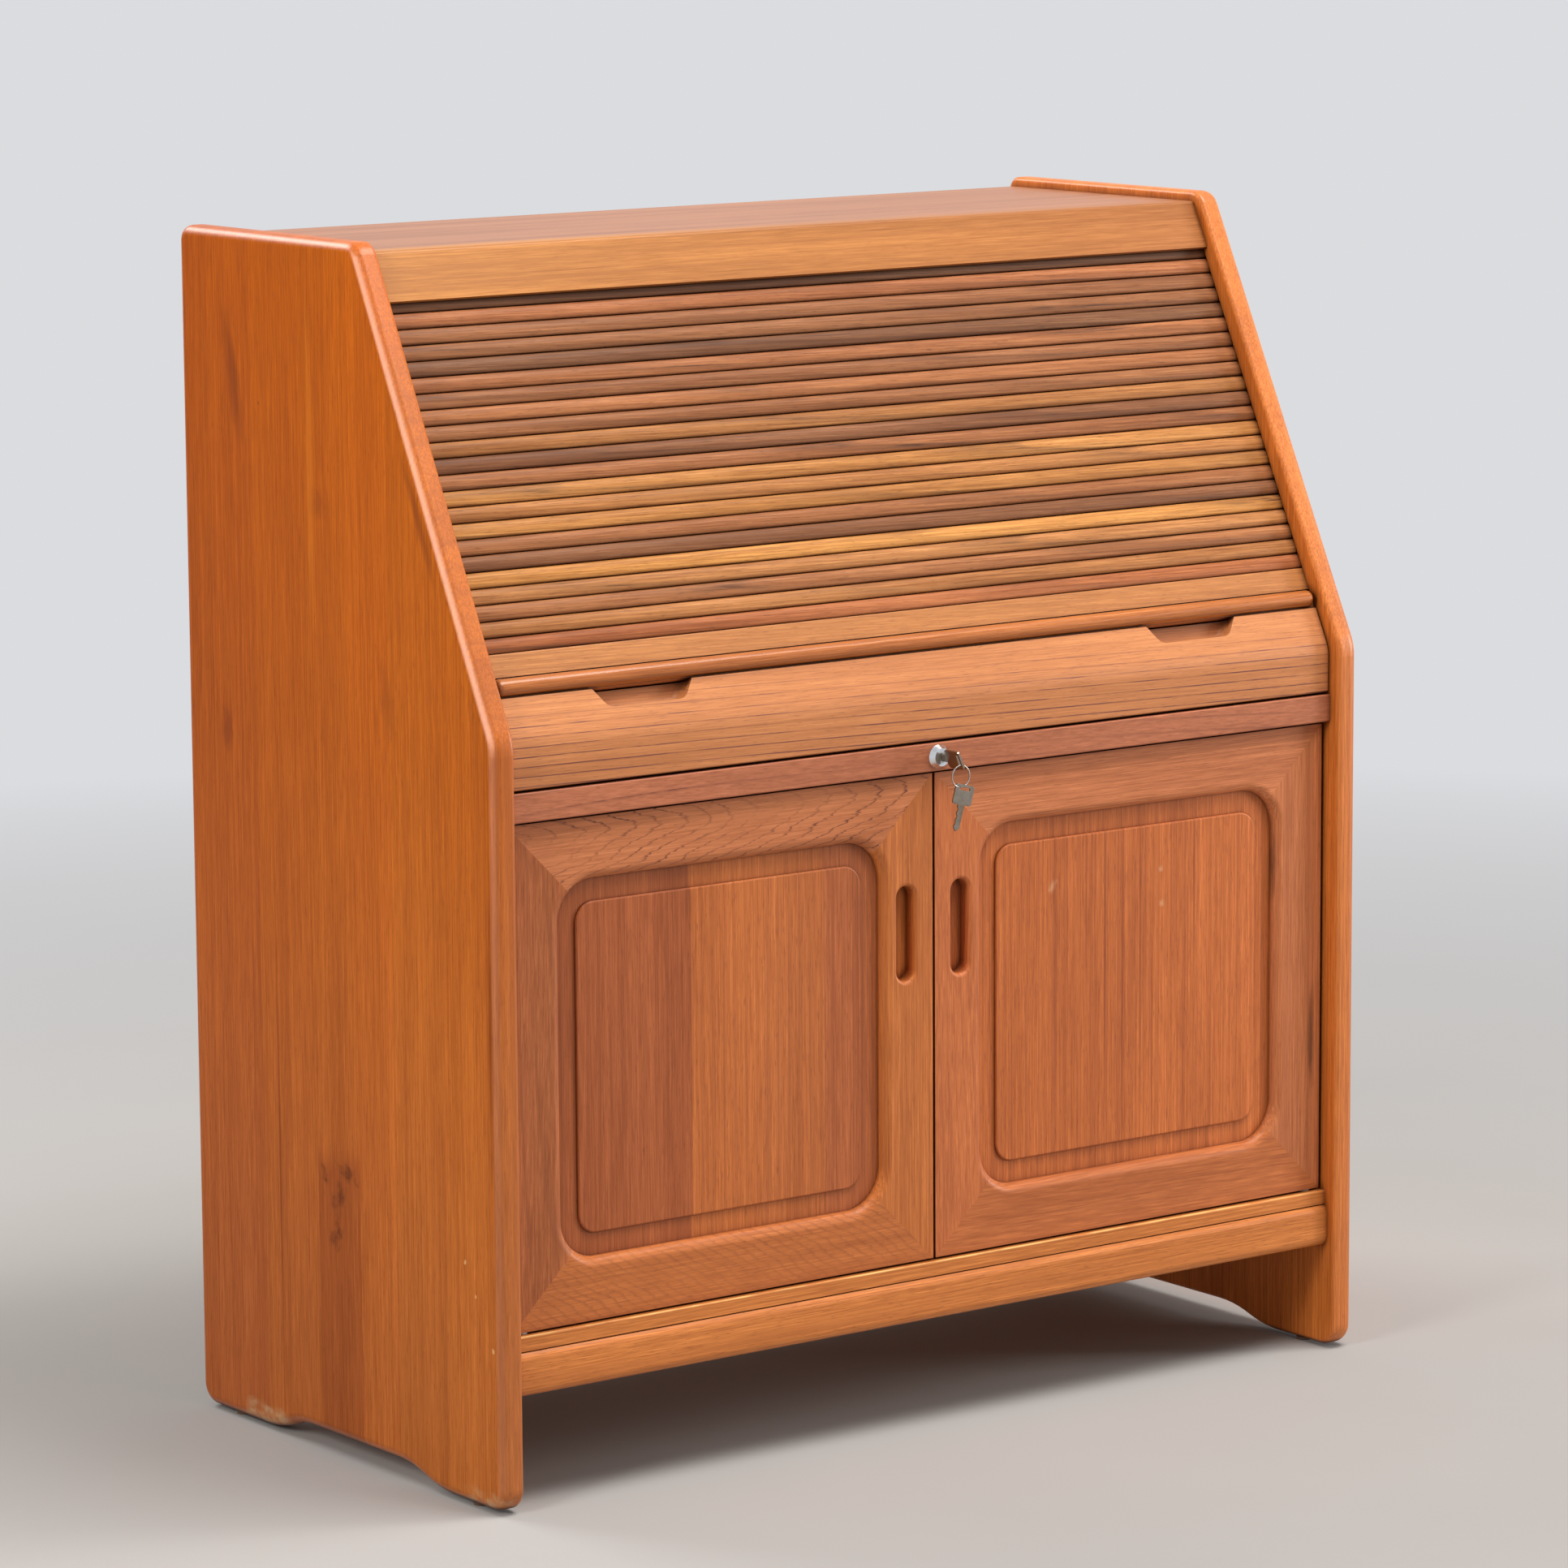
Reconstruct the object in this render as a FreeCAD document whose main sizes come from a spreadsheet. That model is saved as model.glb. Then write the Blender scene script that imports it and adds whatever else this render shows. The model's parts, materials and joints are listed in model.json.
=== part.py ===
import FreeCAD, Part
import math
import os
import re
import Sketcher
from FreeCAD import Placement, Rotation, Vector

# Roll-front writing desk: two shaped sides carry a sloping tambour, a pull-out writing slide
# and a two-door cabinet. Millimetres, X to the right, Y to the back, Z up from the floor.
# Depths (set, front, rear, depth) run back from the front edges of the two sides, levels run
# up from the floor, and places along the slope run up from the bend in the sides' front edge.

SIZES = {
    # the two sides and the case as a whole
    "case_width": 1060,
    "case_height": 1180,
    "case_depth": 536,
    "side_thick": 26,
    "shoulder_height": 732.5,
    "slope_run": 223,
    "shoulder_round": 50,
    "side_round": 11,
    "side_inner_round": 5,
    "top_front_round": 20,
    "top_rear_round": 14,
    "foot_round": 22,
    "front_foot_length": 112,
    "rear_foot_length": 139,
    "front_arch_run": 49,
    "rear_arch_run": 40,
    "arch_height": 16,
    "arch_bend_share": 0.45,
    "glide_height": 3,
    "glide_radius": 8.5,
    "glide_inset": 57,
    "nail_radius": 2.5,
    "nail_length": 14,
    # top board and the fascia in front of it
    "top_drop": 10,
    "top_thick": 20,
    "top_rear_inset": 10,
    "fascia_set": 12,
    "fascia_height": 51.3,
    "fascia_round": 4,
    "cove_gap": 1.5,
    # curtain of slats
    "curtain_set": 18.7,
    "curtain_gap": 1,
    "slat_thick": 9,
    "slat_pitch": 16.3,
    "slat_gap": 0.8,
    "slat_crown": 2.3,
    "slat_end_clearance": 1,
    "lead_width": 43,
    "lead_round": 1.5,
    "bead_lift": 0.5,
    "bead_width": 17,
    "bead_proud": 10.7,
    "bead_end_clearance": 4,
    "bead_end_round": 6,
    "quirk_width": 2.2,
    "quirk_depth": 2.5,
    "canvas_thick": 0.8,
    "canvas_lap": 15,
    "canvas_inset": 14,
    # track of the curtain, cut in the sides
    "track_lead": 2.5,
    "track_bend": 40,
    "track_back_gap": 10,
    "track_tail": 84,
    "track_depth": 8,
    "track_clearance": 0.5,
    # bent lining behind the curtain
    "lining_thick": 6,
    "lining_gap": 2.7,
    # writing slide
    "slide_set": 15,
    "slide_thick": 22,
    "slide_drop": 48.5,
    "slide_top": 48.5,
    "slide_front_round": 35,
    "slide_back_round": 13,
    "slide_edge_round": 2,
    "slide_end_clearance": 1.5,
    "recess_inset": 168,
    "recess_width": 116,
    "recess_floor_width": 88,
    "recess_height": 20,
    "recess_depth": 15,
    "recess_corner": 13,
    "recess_cove": 7,
    "board_rise": 24.5,
    "board_thick": 18,
    "board_rear_gap": 28,
    "runner_clearance": 0.3,
    "runner_width": 20,
    "runner_height": 22,
    "runner_front_gap": 23,
    "runner_rear_gap": 38,
    "stop_gap": 5,
    "stop_thick": 20,
    "stop_height": 46,
    "stop_clearance": 2,
    "slide_travel": 280,
    "cleat_thick": 20,
    "cleat_height": 17,
    "cleat_length": 400,
    "strike_width": 40,
    "strike_thick": 12,
    "strike_gap": 1,
    "strike_rise": 5,
    # lock rail, dust board, floor, apron and back
    "rail_set": 13,
    "rail_gap": 2,
    "rail_height": 28,
    "rail_depth": 34,
    "rail_round": 1.5,
    "dust_drop": 4,
    "dust_thick": 8,
    "dust_gap": 5,
    "floor_top": 166.5,
    "floor_thick": 14.5,
    "floor_set": 16,
    "floor_round": 2,
    "apron_set": 12,
    "apron_height": 43.4,
    "apron_thick": 22,
    "apron_round": 9,
    "back_inset": 12,
    "back_thick": 6,
    "back_let_in": 8,
    "back_clearance": 0.5,
    # pigeonholes over the writing slide
    "deck_gap": 1,
    "deck_thick": 16,
    "deck_lap": 5,
    "pigeon_depth": 194,
    "top_shelf_height": 120,
    "pigeon_thick": 10,
    # cabinet shelf on its pins
    "shelf_level": 426,
    "shelf_thick": 16,
    "shelf_front_gap": 18,
    "shelf_rear_gap": 8,
    "shelf_clearance": 1,
    "pin_radius": 2.5,
    "pin_reach": 12,
    "pin_let_in": 10,
    "pin_inset": 50,
    "hole_clearance": 0.05,
    # doors
    "door_set": 22,
    "door_thick": 20,
    "door_bottom_gap": 2,
    "door_top_gap": 3,
    "door_side_gap": 3.5,
    "door_meeting_gap": 3,
    "frame_width": 60,
    "frame_round": 10,
    "opening_round": 40,
    "lip_thick": 10.6,
    "rabbet_width": 8,
    "panel_clearance": 0.5,
    "field_inset": 22,
    "field_round": 20,
    "field_proud": 3,
    "field_edge_round": 2,
    "pull_inset": 32,
    "pull_width": 22,
    "pull_height": 94,
    "pull_drop": 108.5,
    "pull_depth": 15,
    "pull_edge_round": 4,
    # door pivots and catches
    "pivot_inset": 14,
    "pivot_set": 9,
    "pivot_radius": 3,
    "pivot_let_in": 25,
    "pivot_reach": 9,
    "bush_radius": 5,
    "bush_length": 10,
    "bush_flange_radius": 7,
    "bush_flange_thick": 1.7,
    "running_clearance": 0.05,
    "plate_inset": 20,
    "plate_width": 40,
    "plate_height": 30,
    "plate_thick": 1.2,
    "plate_drop": 12,
    "catch_gap": 0.3,
    "catch_width": 36,
    "catch_depth": 16,
    "catch_height": 14,
    # lock and key
    "bezel_radius": 12,
    "bezel_face_radius": 8.75,
    "bezel_depth": 5.5,
    "barrel_radius": 8,
    "plug_radius": 5.5,
    "nut_radius": 12,
    "nut_thick": 3,
    "cam_gap": 1,
    "cam_thick": 3,
    "cam_half_width": 6,
    "cam_reach": 30,
    "tail_radius": 3,
    "tail_overhang": 1,
    "key_projection": 30,
    "key_bow_length": 22.5,
    "key_bow_width": 19.5,
    "key_bow_round": 3,
    "key_thick": 2,
    "key_bar": 2.5,
    "key_slot_length": 12,
    "key_slot_width": 3,
    "key_blade_width": 8,
    "key_blade_length": 20,
    "keyway_clearance": 0.2,
    # how far cutting outlines run past the faces they cut
    "overrun": 5,
}

KEY_TILT = "23 deg"
SLATS_IN_BEND = 2

PLACES = {
    "lean": "atan(slope_run / (case_height - shoulder_height))",
    "slope_turn": "90 deg - lean",
    "key_reach": "key_projection + bezel_depth - rail_set",
    "case_front": "(key_reach - case_depth) / 2",
    "inner_half": "case_width / 2 - side_thick",
    "glide_across": "(side_inner_round + side_thick - side_round) / 2",
    # the sides' feet: each end of the arch is two arcs that share its length
    "arch_level": "glide_height + arch_height",
    "rear_foot_start": "case_depth - rear_foot_length",
    "front_arch_length": "sqrt(front_arch_run^2 + arch_height^2)",
    "rear_arch_length": "sqrt(rear_arch_run^2 + arch_height^2)",
    "front_arch_bend": "arch_bend_share * front_arch_length / tan(atan(arch_height / front_arch_run) / 2)",
    "rear_arch_bend": "arch_bend_share * rear_arch_length / tan(atan(arch_height / rear_arch_run) / 2)",
    # back, top and fascia
    "back_rear": "case_depth - back_inset",
    "back_front": "back_rear - back_thick",
    "top_level": "case_height - top_drop",
    "top_bottom": "top_level - top_thick",
    "top_rear": "case_depth - top_rear_inset",
    "fascia_top": "(top_level - shoulder_height + fascia_set * sin(lean)) / cos(lean)",
    "fascia_low": "fascia_top - fascia_height",
    # curtain and its track: two bends of one radius join the slope, the level run and the tail
    "lead_low": "slide_top + curtain_gap",
    "lead_top": "lead_low + lead_width",
    "bead_low": "lead_low + bead_lift",
    "slat_half": "inner_half + track_depth - slat_end_clearance",
    "track_half": "slat_thick / 2 + track_clearance",
    "track_low": "lead_low - track_lead",
    "track_set": "curtain_set + slat_thick / 2",
    "track_top": "top_bottom - cove_gap - slat_thick / 2",
    "track_rear": "back_front - track_back_gap",
    "cove_radius": "track_bend + slat_thick / 2 + cove_gap",
    "bend_level": "track_top - track_bend",
    "bend_set": "track_set + track_bend",
    "bend_along": "(bend_level - shoulder_height + bend_set * sin(lean)) / cos(lean)",
    "bend_depth": "bend_along * sin(lean) + bend_set * cos(lean)",
    "rear_bend": "track_rear - track_bend",
    "lip_set": "bend_set - cove_radius",
    "canvas_radius": "track_bend - slat_thick / 2",
    "canvas_inner_radius": "canvas_radius - canvas_thick",
    "lining_radius": "canvas_inner_radius - lining_gap",
    "lining_inner_radius": "lining_radius - lining_thick",
    "lining_front": "rear_bend + lining_inner_radius",
    # writing slide
    "slide_back": "slide_set + slide_thick",
    "slide_bottom": "shoulder_height - slide_drop",
    "slide_half": "inner_half - slide_end_clearance",
    "recess_place": "inner_half - recess_inset",
    "board_top": "shoulder_height + board_rise",
    "board_bottom": "board_top - board_thick",
    "board_rear": "back_front - board_rear_gap",
    "runner_top": "board_bottom - runner_clearance",
    "runner_inner": "inner_half - runner_width",
    "runner_front": "slide_back + runner_front_gap",
    "runner_rear": "back_front - runner_rear_gap",
    "stop_top": "board_bottom - stop_clearance",
    "stop_front": "strike_front + strike_thick + stop_gap",
    "stop_rear": "stop_front + stop_thick",
    "cleat_front": "stop_rear + slide_travel",
    # lock rail and what lies behind it
    "rail_top": "slide_bottom - rail_gap",
    "rail_bottom": "rail_top - rail_height",
    "rail_rear": "rail_set + rail_depth",
    "lock_height": "rail_bottom + rail_height / 2",
    "bezel_face": "rail_set - bezel_depth",
    "nut_rear": "rail_rear + nut_thick",
    "cam_front": "nut_rear + cam_gap",
    "cam_rear": "cam_front + cam_thick",
    "strike_front": "cam_rear + strike_gap",
    "strike_low": "rail_top + strike_rise",
    "dust_front": "rail_rear + dust_gap",
    "dust_top": "rail_bottom - dust_drop",
    "dust_bottom": "dust_top - dust_thick",
    "floor_bottom": "floor_top - floor_thick",
    # pigeonholes
    "deck_bottom": "board_top + deck_gap",
    "deck_top": "deck_bottom + deck_thick",
    "deck_front": "board_rear - slide_travel - deck_lap",
    "pigeon_front": "lining_front - pigeon_depth",
    "pigeon_top": "bend_level + lining_inner_radius - top_shelf_height",
    "letter_level": "(deck_top + pigeon_top) / 2 - pigeon_thick",
    "divider_spacing": "inner_half / 3",
    # doors and cabinet shelf
    "door_bottom": "floor_top + door_bottom_gap",
    "door_top": "rail_bottom - door_top_gap",
    "door_outer": "inner_half - door_side_gap",
    "door_inner": "door_meeting_gap / 2",
    "door_rear": "door_set + door_thick",
    "mitre_depth": "frame_width + opening_round * (1 - 1 / sqrt(2))",
    "rabbet_depth": "door_thick - lip_thick",
    "panel_lap": "rabbet_width - panel_clearance",
    "pull_low": "door_top - pull_drop - pull_height",
    "pivot_place": "door_outer - pivot_inset",
    "pivot_depth": "door_set + pivot_set",
    "shelf_bottom": "shelf_level - shelf_thick",
    "shelf_front": "door_rear + shelf_front_gap",
    "shelf_rear": "back_front - shelf_rear_gap",
    "pin_front": "shelf_front + pin_inset",
    "pin_rear": "shelf_rear - pin_inset",
}

X_AXIS = Vector(1, 0, 0)
Y_AXIS = Vector(0, 1, 0)
TOUCH = 1e-4

doc = FreeCAD.newDocument("RollFrontDesk")
sheet = doc.addObject("Spreadsheet::Sheet", "sizes")
for row, (name, size) in enumerate(SIZES.items(), 1):
    sheet.set(f"A{row}", name)
    sheet.set(f"B{row}", str(size))
    sheet.setAlias(f"B{row}", name)
doc.recompute()

nodes = []


def formula(text):
    """A formula of named sizes and places, written out on the sheet's cells."""

    def write_out(match):
        word = match.group(0)
        if word in PLACES:
            return "(" + formula(PLACES[word]) + ")"
        if word in SIZES:
            return "sizes." + word
        return word

    return re.sub(r"[a-z_]+", write_out, text)


def value(text):
    """The number that a formula gives now."""
    result = sheet.evalExpression(formula(text))
    return float(getattr(result, "Value", result))


def bind(item, **formulas):
    for name, text in formulas.items():
        item.setExpression(name, formula(text))


def put(item, x="0", depth=None, z="0", y="0"):
    """Place an item; depth is measured back from the case front, y from the frame's own origin."""
    item.setExpression("Placement.Base.x", formula(x))
    item.setExpression("Placement.Base.y", formula(y if depth is None else f"case_front + ({depth})"))
    item.setExpression("Placement.Base.z", formula(z))
    return item


def turn(item, axis, angle):
    """Turn an item about an axis through its own place."""
    item.Placement = Placement(Vector(), Rotation(axis, value(angle)))
    item.setExpression("Placement.Rotation.Angle", formula(angle))


def node(label, item):
    """Count an item as one of the desk's pieces."""
    item.Label = label
    nodes.append(item)
    return item


def slope_place(along, behind):
    """Row place (y, z) of a point so far along the slope and so far behind its face."""
    y = f"case_front + ({along}) * sin(lean) + ({behind}) * cos(lean)"
    z = f"shoulder_height + ({along}) * cos(lean) - ({behind}) * sin(lean)"
    return y, z


def slope_depth(level, behind):
    """Depth at which a plane so far behind the slope's face passes a level."""
    return f"({behind}) / cos(lean) + (({level}) - shoulder_height) * tan(lean)"


def on_slope(depth, level):
    """The point at a depth and level, in the slope's own along and outward directions."""
    along = f"({depth}) * sin(lean) + (({level}) - shoulder_height) * cos(lean)"
    outward = f"(({level}) - shoulder_height) * sin(lean) - ({depth}) * cos(lean)"
    return along, outward


def at_depth(depth, z):
    return f"case_front + ({depth})", z


# Sketches and features


def new_body(name):
    return doc.addObject("PartDesign::Body", name)


def new_sketch(body, plane, lift):
    sketch = body.newObject("Sketcher::SketchObject", body.Name + "Outline")
    face = next(f for f in body.Origin.OriginFeatures if f.Role == plane)
    sketch.AttachmentSupport = [(face, "")]
    sketch.MapMode = "FlatFace"
    sketch.setExpression("AttachmentOffset.Base.z", formula(lift))
    return sketch


def arc_between(start, end, radius, side):
    """Arc of less than half a circle whose centre lies on the given side of the way from start to end."""
    chord = end - start
    middle = (start + end) * 0.5
    left = Vector(-chord.y, chord.x, 0).normalize()
    rise = math.sqrt(max(radius**2 - (chord.Length / 2) ** 2, 0))
    centre = middle + left * (rise if side == "left" else -rise)
    first, last = (start, end) if side == "left" else (end, start)
    angles = [math.atan2(p.y - centre.y, p.x - centre.x) for p in (first, last)]
    return Part.ArcOfCircle(Part.Circle(centre, Vector(0, 0, 1), radius), *angles)


def outline(body, plane, points, lift="0"):
    """Closed outline through points (across, up); a point that also has a radius and a side starts an arc."""
    sketch = new_sketch(body, plane, lift)
    spots = [Vector(value(point[0]), value(point[1]), 0) for point in points]
    ends = []
    for number, point in enumerate(points):
        start = spots[number]
        end = spots[(number + 1) % len(spots)]
        if len(point) == 2:
            sketch.addGeometry(Part.LineSegment(start, end), False)
            ends.append((1, 2))
        else:
            sketch.addGeometry(arc_between(start, end, value(point[2]), point[3]), False)
            ends.append((1, 2) if point[3] == "left" else (2, 1))
    for number, point in enumerate(points):
        following = (number + 1) % len(points)
        sketch.addConstraint(
            Sketcher.Constraint("Coincident", number, ends[number][1], following, ends[following][0])
        )
    for number, point in enumerate(points):
        for kind, text, place in (
            ("DistanceX", point[0], spots[number].x),
            ("DistanceY", point[1], spots[number].y),
        ):
            row = sketch.addConstraint(
                Sketcher.Constraint(kind, -1, 1, number, ends[number][0], place)
            )
            sketch.setExpression(f"Constraints[{row}]", formula(text))
        if len(point) > 2:
            row = sketch.addConstraint(Sketcher.Constraint("Radius", number, value(point[2])))
            sketch.setExpression(f"Constraints[{row}]", formula(point[2]))
    doc.recompute()
    return sketch


def discs(body, plane, centres, radius, lift="0"):
    """Round outlines of one radius."""
    sketch = new_sketch(body, plane, lift)
    for number, (across, up) in enumerate(centres):
        centre = Vector(value(across), value(up), 0)
        sketch.addGeometry(Part.Circle(centre, Vector(0, 0, 1), value(radius)), False)
        for kind, text, place in (("DistanceX", across, centre.x), ("DistanceY", up, centre.y)):
            row = sketch.addConstraint(Sketcher.Constraint(kind, -1, 1, number, 3, place))
            sketch.setExpression(f"Constraints[{row}]", formula(text))
        row = sketch.addConstraint(Sketcher.Constraint("Radius", number, value(radius)))
        sketch.setExpression(f"Constraints[{row}]", formula(radius))
    doc.recompute()
    return sketch


def rectangle(low_x, high_x, low_z, high_z):
    return [(low_x, low_z), (high_x, low_z), (high_x, high_z), (low_x, high_z)]


def rounded_rectangle(low_x, high_x, low_z, high_z, radius):
    return [
        (f"{low_x} + {radius}", low_z),
        (f"{high_x} - ({radius})", low_z, radius, "left"),
        (high_x, f"{low_z} + {radius}"),
        (high_x, f"{high_z} - ({radius})", radius, "left"),
        (f"{high_x} - ({radius})", high_z),
        (f"{low_x} + {radius}", high_z, radius, "left"),
        (low_x, f"{high_z} - ({radius})"),
        (low_x, f"{low_z} + {radius}", radius, "left"),
    ]


def upright_slot(middle, low, high, radius):
    """Slot with round ends, each end drawn as two quarter arcs."""
    return [
        (f"{middle} - {radius}", f"{low} + {radius}", radius, "left"),
        (middle, low, radius, "left"),
        (f"{middle} + {radius}", f"{low} + {radius}"),
        (f"{middle} + {radius}", f"{high} - {radius}", radius, "left"),
        (middle, high, radius, "left"),
        (f"{middle} - {radius}", f"{high} - {radius}"),
    ]


def pad(body, sketch, length, side="One side", backwards=False):
    feature = body.newObject("PartDesign::Pad", body.Name + "Pad")
    feature.Profile = sketch
    feature.SideType = side
    feature.Reversed = backwards
    bind(feature, Length=length)
    doc.recompute()
    return feature


def pocket(body, sketch, length, backwards=False):
    """Cut an outline into the body, and make sure that something came out."""
    before = body.Tip.Shape.Volume
    feature = body.newObject("PartDesign::Pocket", body.Name + "Pocket")
    feature.Profile = sketch
    feature.Reversed = backwards
    bind(feature, Length=length)
    doc.recompute()
    if not feature.Shape.Volume < before:
        raise RuntimeError(f"{feature.Name} cuts nothing from {body.Name}")
    return feature


def round_edges(body, chosen, radius):
    """Fillet the edges of the body so far that the test picks."""
    base = body.Tip
    names = [f"Edge{number}" for number, edge in enumerate(base.Shape.Edges, 1) if chosen(edge)]
    if not names:
        raise RuntimeError(f"no edge to round on {body.Name}")
    feature = body.newObject("PartDesign::Fillet", body.Name + "Round")
    feature.Base = (base, names)
    bind(feature, Radius=radius)
    doc.recompute()
    return feature


def along_x_at(points):
    """Test for edges that run along X through one of the outline points."""
    spots = [(value(point[0]), value(point[1])) for point in points]

    def chosen(edge):
        box = edge.BoundBox
        if box.XLength < TOUCH or max(box.YLength, box.ZLength) > TOUCH:
            return False
        return any(math.hypot(box.YMin - y, box.ZMin - z) < TOUCH for y, z in spots)

    return chosen


def profile(body, points, half, rounds=()):
    """Piece of one section across the desk; rounds pairs corners of the outline with a radius."""
    pad(body, outline(body, "YZ_Plane", points), f"2 * ({half})", "Symmetric")
    for corners, radius in rounds:
        round_edges(body, along_x_at(corners), radius)
    return body


def slope_body(name):
    """Body whose own Y runs up the slope from the bend in the front edge, with its own Z pointing out."""
    body = new_body(name)
    turn(body, X_AXIS, "slope_turn")
    return put(body, depth="0", z="shoulder_height")


# Boards, rods and joined shapes


def board(name, x, depth, z):
    """Plain board between a low and a high face each way."""
    item = doc.addObject("Part::Box", name)
    bind(
        item,
        Length=f"({x[1]}) - ({x[0]})",
        Width=f"({depth[1]}) - ({depth[0]})",
        Height=f"({z[1]}) - ({z[0]})",
    )
    return put(item, x[0], depth[0], z[0])


def wide_board(name, half, depth, z):
    return board(name, (f"-({half})", half), depth, z)


def mirrored(sign, low, high):
    """Low and high X of a stretch on the left (-1) or right (1) side of the desk."""
    return (low, high) if sign > 0 else (f"-({high})", f"-({low})")


def rod(name, radius, length, x, depth, z, axis="z"):
    item = doc.addObject("Part::Cylinder", name)
    bind(item, Radius=radius, Height=length)
    if axis == "x":
        turn(item, Y_AXIS, "90 deg")
    if axis == "y":
        turn(item, X_AXIS, "-90 deg")
    return put(item, x, depth, z)


def group(name, items):
    item = doc.addObject("Part::Compound", name)
    item.Links = items
    doc.recompute()
    return item


def cut(name, base, tools):
    """Cut tools out of a base, and make sure that something came out."""
    item = doc.addObject("Part::Cut", name)
    item.Base = base
    item.Tool = tools[0] if len(tools) == 1 else group(name + "Tools", tools)
    doc.recompute()
    if not item.Shape.Volume < base.Shape.Volume:
        raise RuntimeError(f"{name} has nothing cut from it")
    return item


def fuse(name, first, second):
    item = doc.addObject("Part::Fuse", name)
    item.Base = first
    item.Tool = second
    doc.recompute()
    return item


# Sides


SIDES = (("left", -1), ("right", 1))


def side_outline():
    """Side seen from the right, from the front foot round to the arch under it, and its round corners."""
    front_foot = at_depth("0", "glide_height")
    shoulder = at_depth("0", "shoulder_height")
    top_front = at_depth("slope_run", "case_height")
    top_rear = at_depth("case_depth", "case_height")
    rear_foot = at_depth("case_depth", "glide_height")
    rear_foot_end = at_depth("rear_foot_start", "glide_height")
    rear_arch = at_depth("rear_foot_start - rear_arch_run", "arch_level")
    front_arch = at_depth("front_foot_length + front_arch_run", "arch_level")
    front_foot_end = at_depth("front_foot_length", "glide_height")
    points = [front_foot, shoulder, top_front, top_rear, rear_foot]
    points += [rear_foot_end, rear_arch, front_arch, front_foot_end]
    rounds = [
        ([shoulder], "shoulder_round"),
        ([top_front], "top_front_round"),
        ([top_rear], "top_rear_round"),
        ([front_foot, rear_foot], "foot_round"),
        ([rear_foot_end, rear_arch], "rear_arch_bend"),
        ([front_arch, front_foot_end], "front_arch_bend"),
    ]
    return points, rounds


def track_outline():
    """Track of the curtain: up the slope, over the first bend, back, over the second bend and down."""

    def run(outward):
        edge = f"track_half * {outward}"
        bend = f"track_bend + {edge}"
        return [
            slope_place("track_low", f"track_set - {edge}"),
            (*slope_place("bend_along", f"track_set - {edge}"), bend, "right"),
            at_depth("bend_depth", f"track_top + {edge}"),
            (*at_depth("rear_bend", f"track_top + {edge}"), bend, "right"),
            at_depth(f"track_rear + {edge}", "bend_level"),
            at_depth(f"track_rear + {edge}", "bend_level - track_tail"),
        ]

    outer = run(1)
    inner = [point[:2] for point in reversed(run(-1))]
    for number in (1, 3):
        inner[number] = (*inner[number], "track_bend - track_half", "left")
    return outer + inner


def around_face(outside):
    """Picks the edges round the outer or the inner face of a side, which stands on its inner face."""

    def chosen(edge):
        flat = edge.BoundBox.XLength < TOUCH
        return flat and (abs(edge.BoundBox.Center.x) > TOUCH) == outside

    return chosen


def shaped_side(name, sign):
    body = new_body(name + "Panel")
    put(body, f"{sign} * inner_half")
    points, rounds = side_outline()
    pad(body, outline(body, "YZ_Plane", points), "side_thick", backwards=sign < 0)
    for corners, radius in rounds:
        round_edges(body, along_x_at(corners), radius)
    for outside, radius in ((True, "side_round"), (False, "side_inner_round")):
        round_edges(body, around_face(outside), radius)
    pocket(body, outline(body, "YZ_Plane", track_outline()), "track_depth", backwards=sign > 0)
    back_groove = [
        at_depth("back_front", "floor_bottom"),
        at_depth("back_rear", "floor_bottom"),
        at_depth("back_rear", "top_bottom"),
        at_depth("back_front", "top_bottom"),
    ]
    pocket(body, outline(body, "YZ_Plane", back_groove), "back_let_in", backwards=sign > 0)
    pin_holes = [at_depth(depth, "shelf_bottom - pin_radius") for depth in ("pin_front", "pin_rear")]
    holes = discs(body, "YZ_Plane", pin_holes, "pin_radius + hole_clearance")
    pocket(body, holes, "pin_let_in + hole_clearance", backwards=sign > 0)
    nail_holes = [
        (f"{sign} * glide_across", f"case_front + {depth}")
        for depth in ("glide_inset", "case_depth - glide_inset")
    ]
    holes = discs(body, "XY_Plane", nail_holes, "nail_radius + hole_clearance", "glide_height")
    pocket(body, holes, "nail_length + hole_clearance", backwards=True)
    return node(name, body)


def foot_glides():
    glides = []
    for name, sign in SIDES:
        for end, depth in (("Front", "glide_inset"), ("Rear", "case_depth - glide_inset")):
            x = f"{sign} * (inner_half + glide_across)"
            foot = rod(f"{name}{end}Glide", "glide_radius", "glide_height", x, depth, "0")
            nail = rod(f"{name}{end}Nail", "nail_radius", "nail_length", x, depth, "glide_height")
            glides.append(fuse(f"{name}{end}Foot", foot, nail))
    return node("foot_glides", group("foot_glides", glides))


# Case boards


def top_and_fascia():
    levels = ("top_bottom", "top_level")
    node("top_board", wide_board("top_board", "inner_half", ("bend_depth", "top_rear"), levels))
    nose = at_depth(slope_depth("top_level", "fascia_set"), "top_level")
    points = [
        slope_place("fascia_low", "fascia_set"),
        nose,
        at_depth("bend_depth", "top_level"),
        (*at_depth("bend_depth", "top_bottom"), "cove_radius", "left"),
        slope_place("bend_along", "lip_set"),
        slope_place("fascia_low", "lip_set"),
    ]
    node("top_fascia", profile(new_body("top_fascia"), points, "inner_half", [([nose], "fascia_round")]))


def section(depth, z):
    """Rectangular section between two depths and two levels, which starts with its two front corners."""
    low, high = depth
    bottom, top = z
    return [at_depth(low, bottom), at_depth(low, top), at_depth(high, top), at_depth(high, bottom)]


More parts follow.
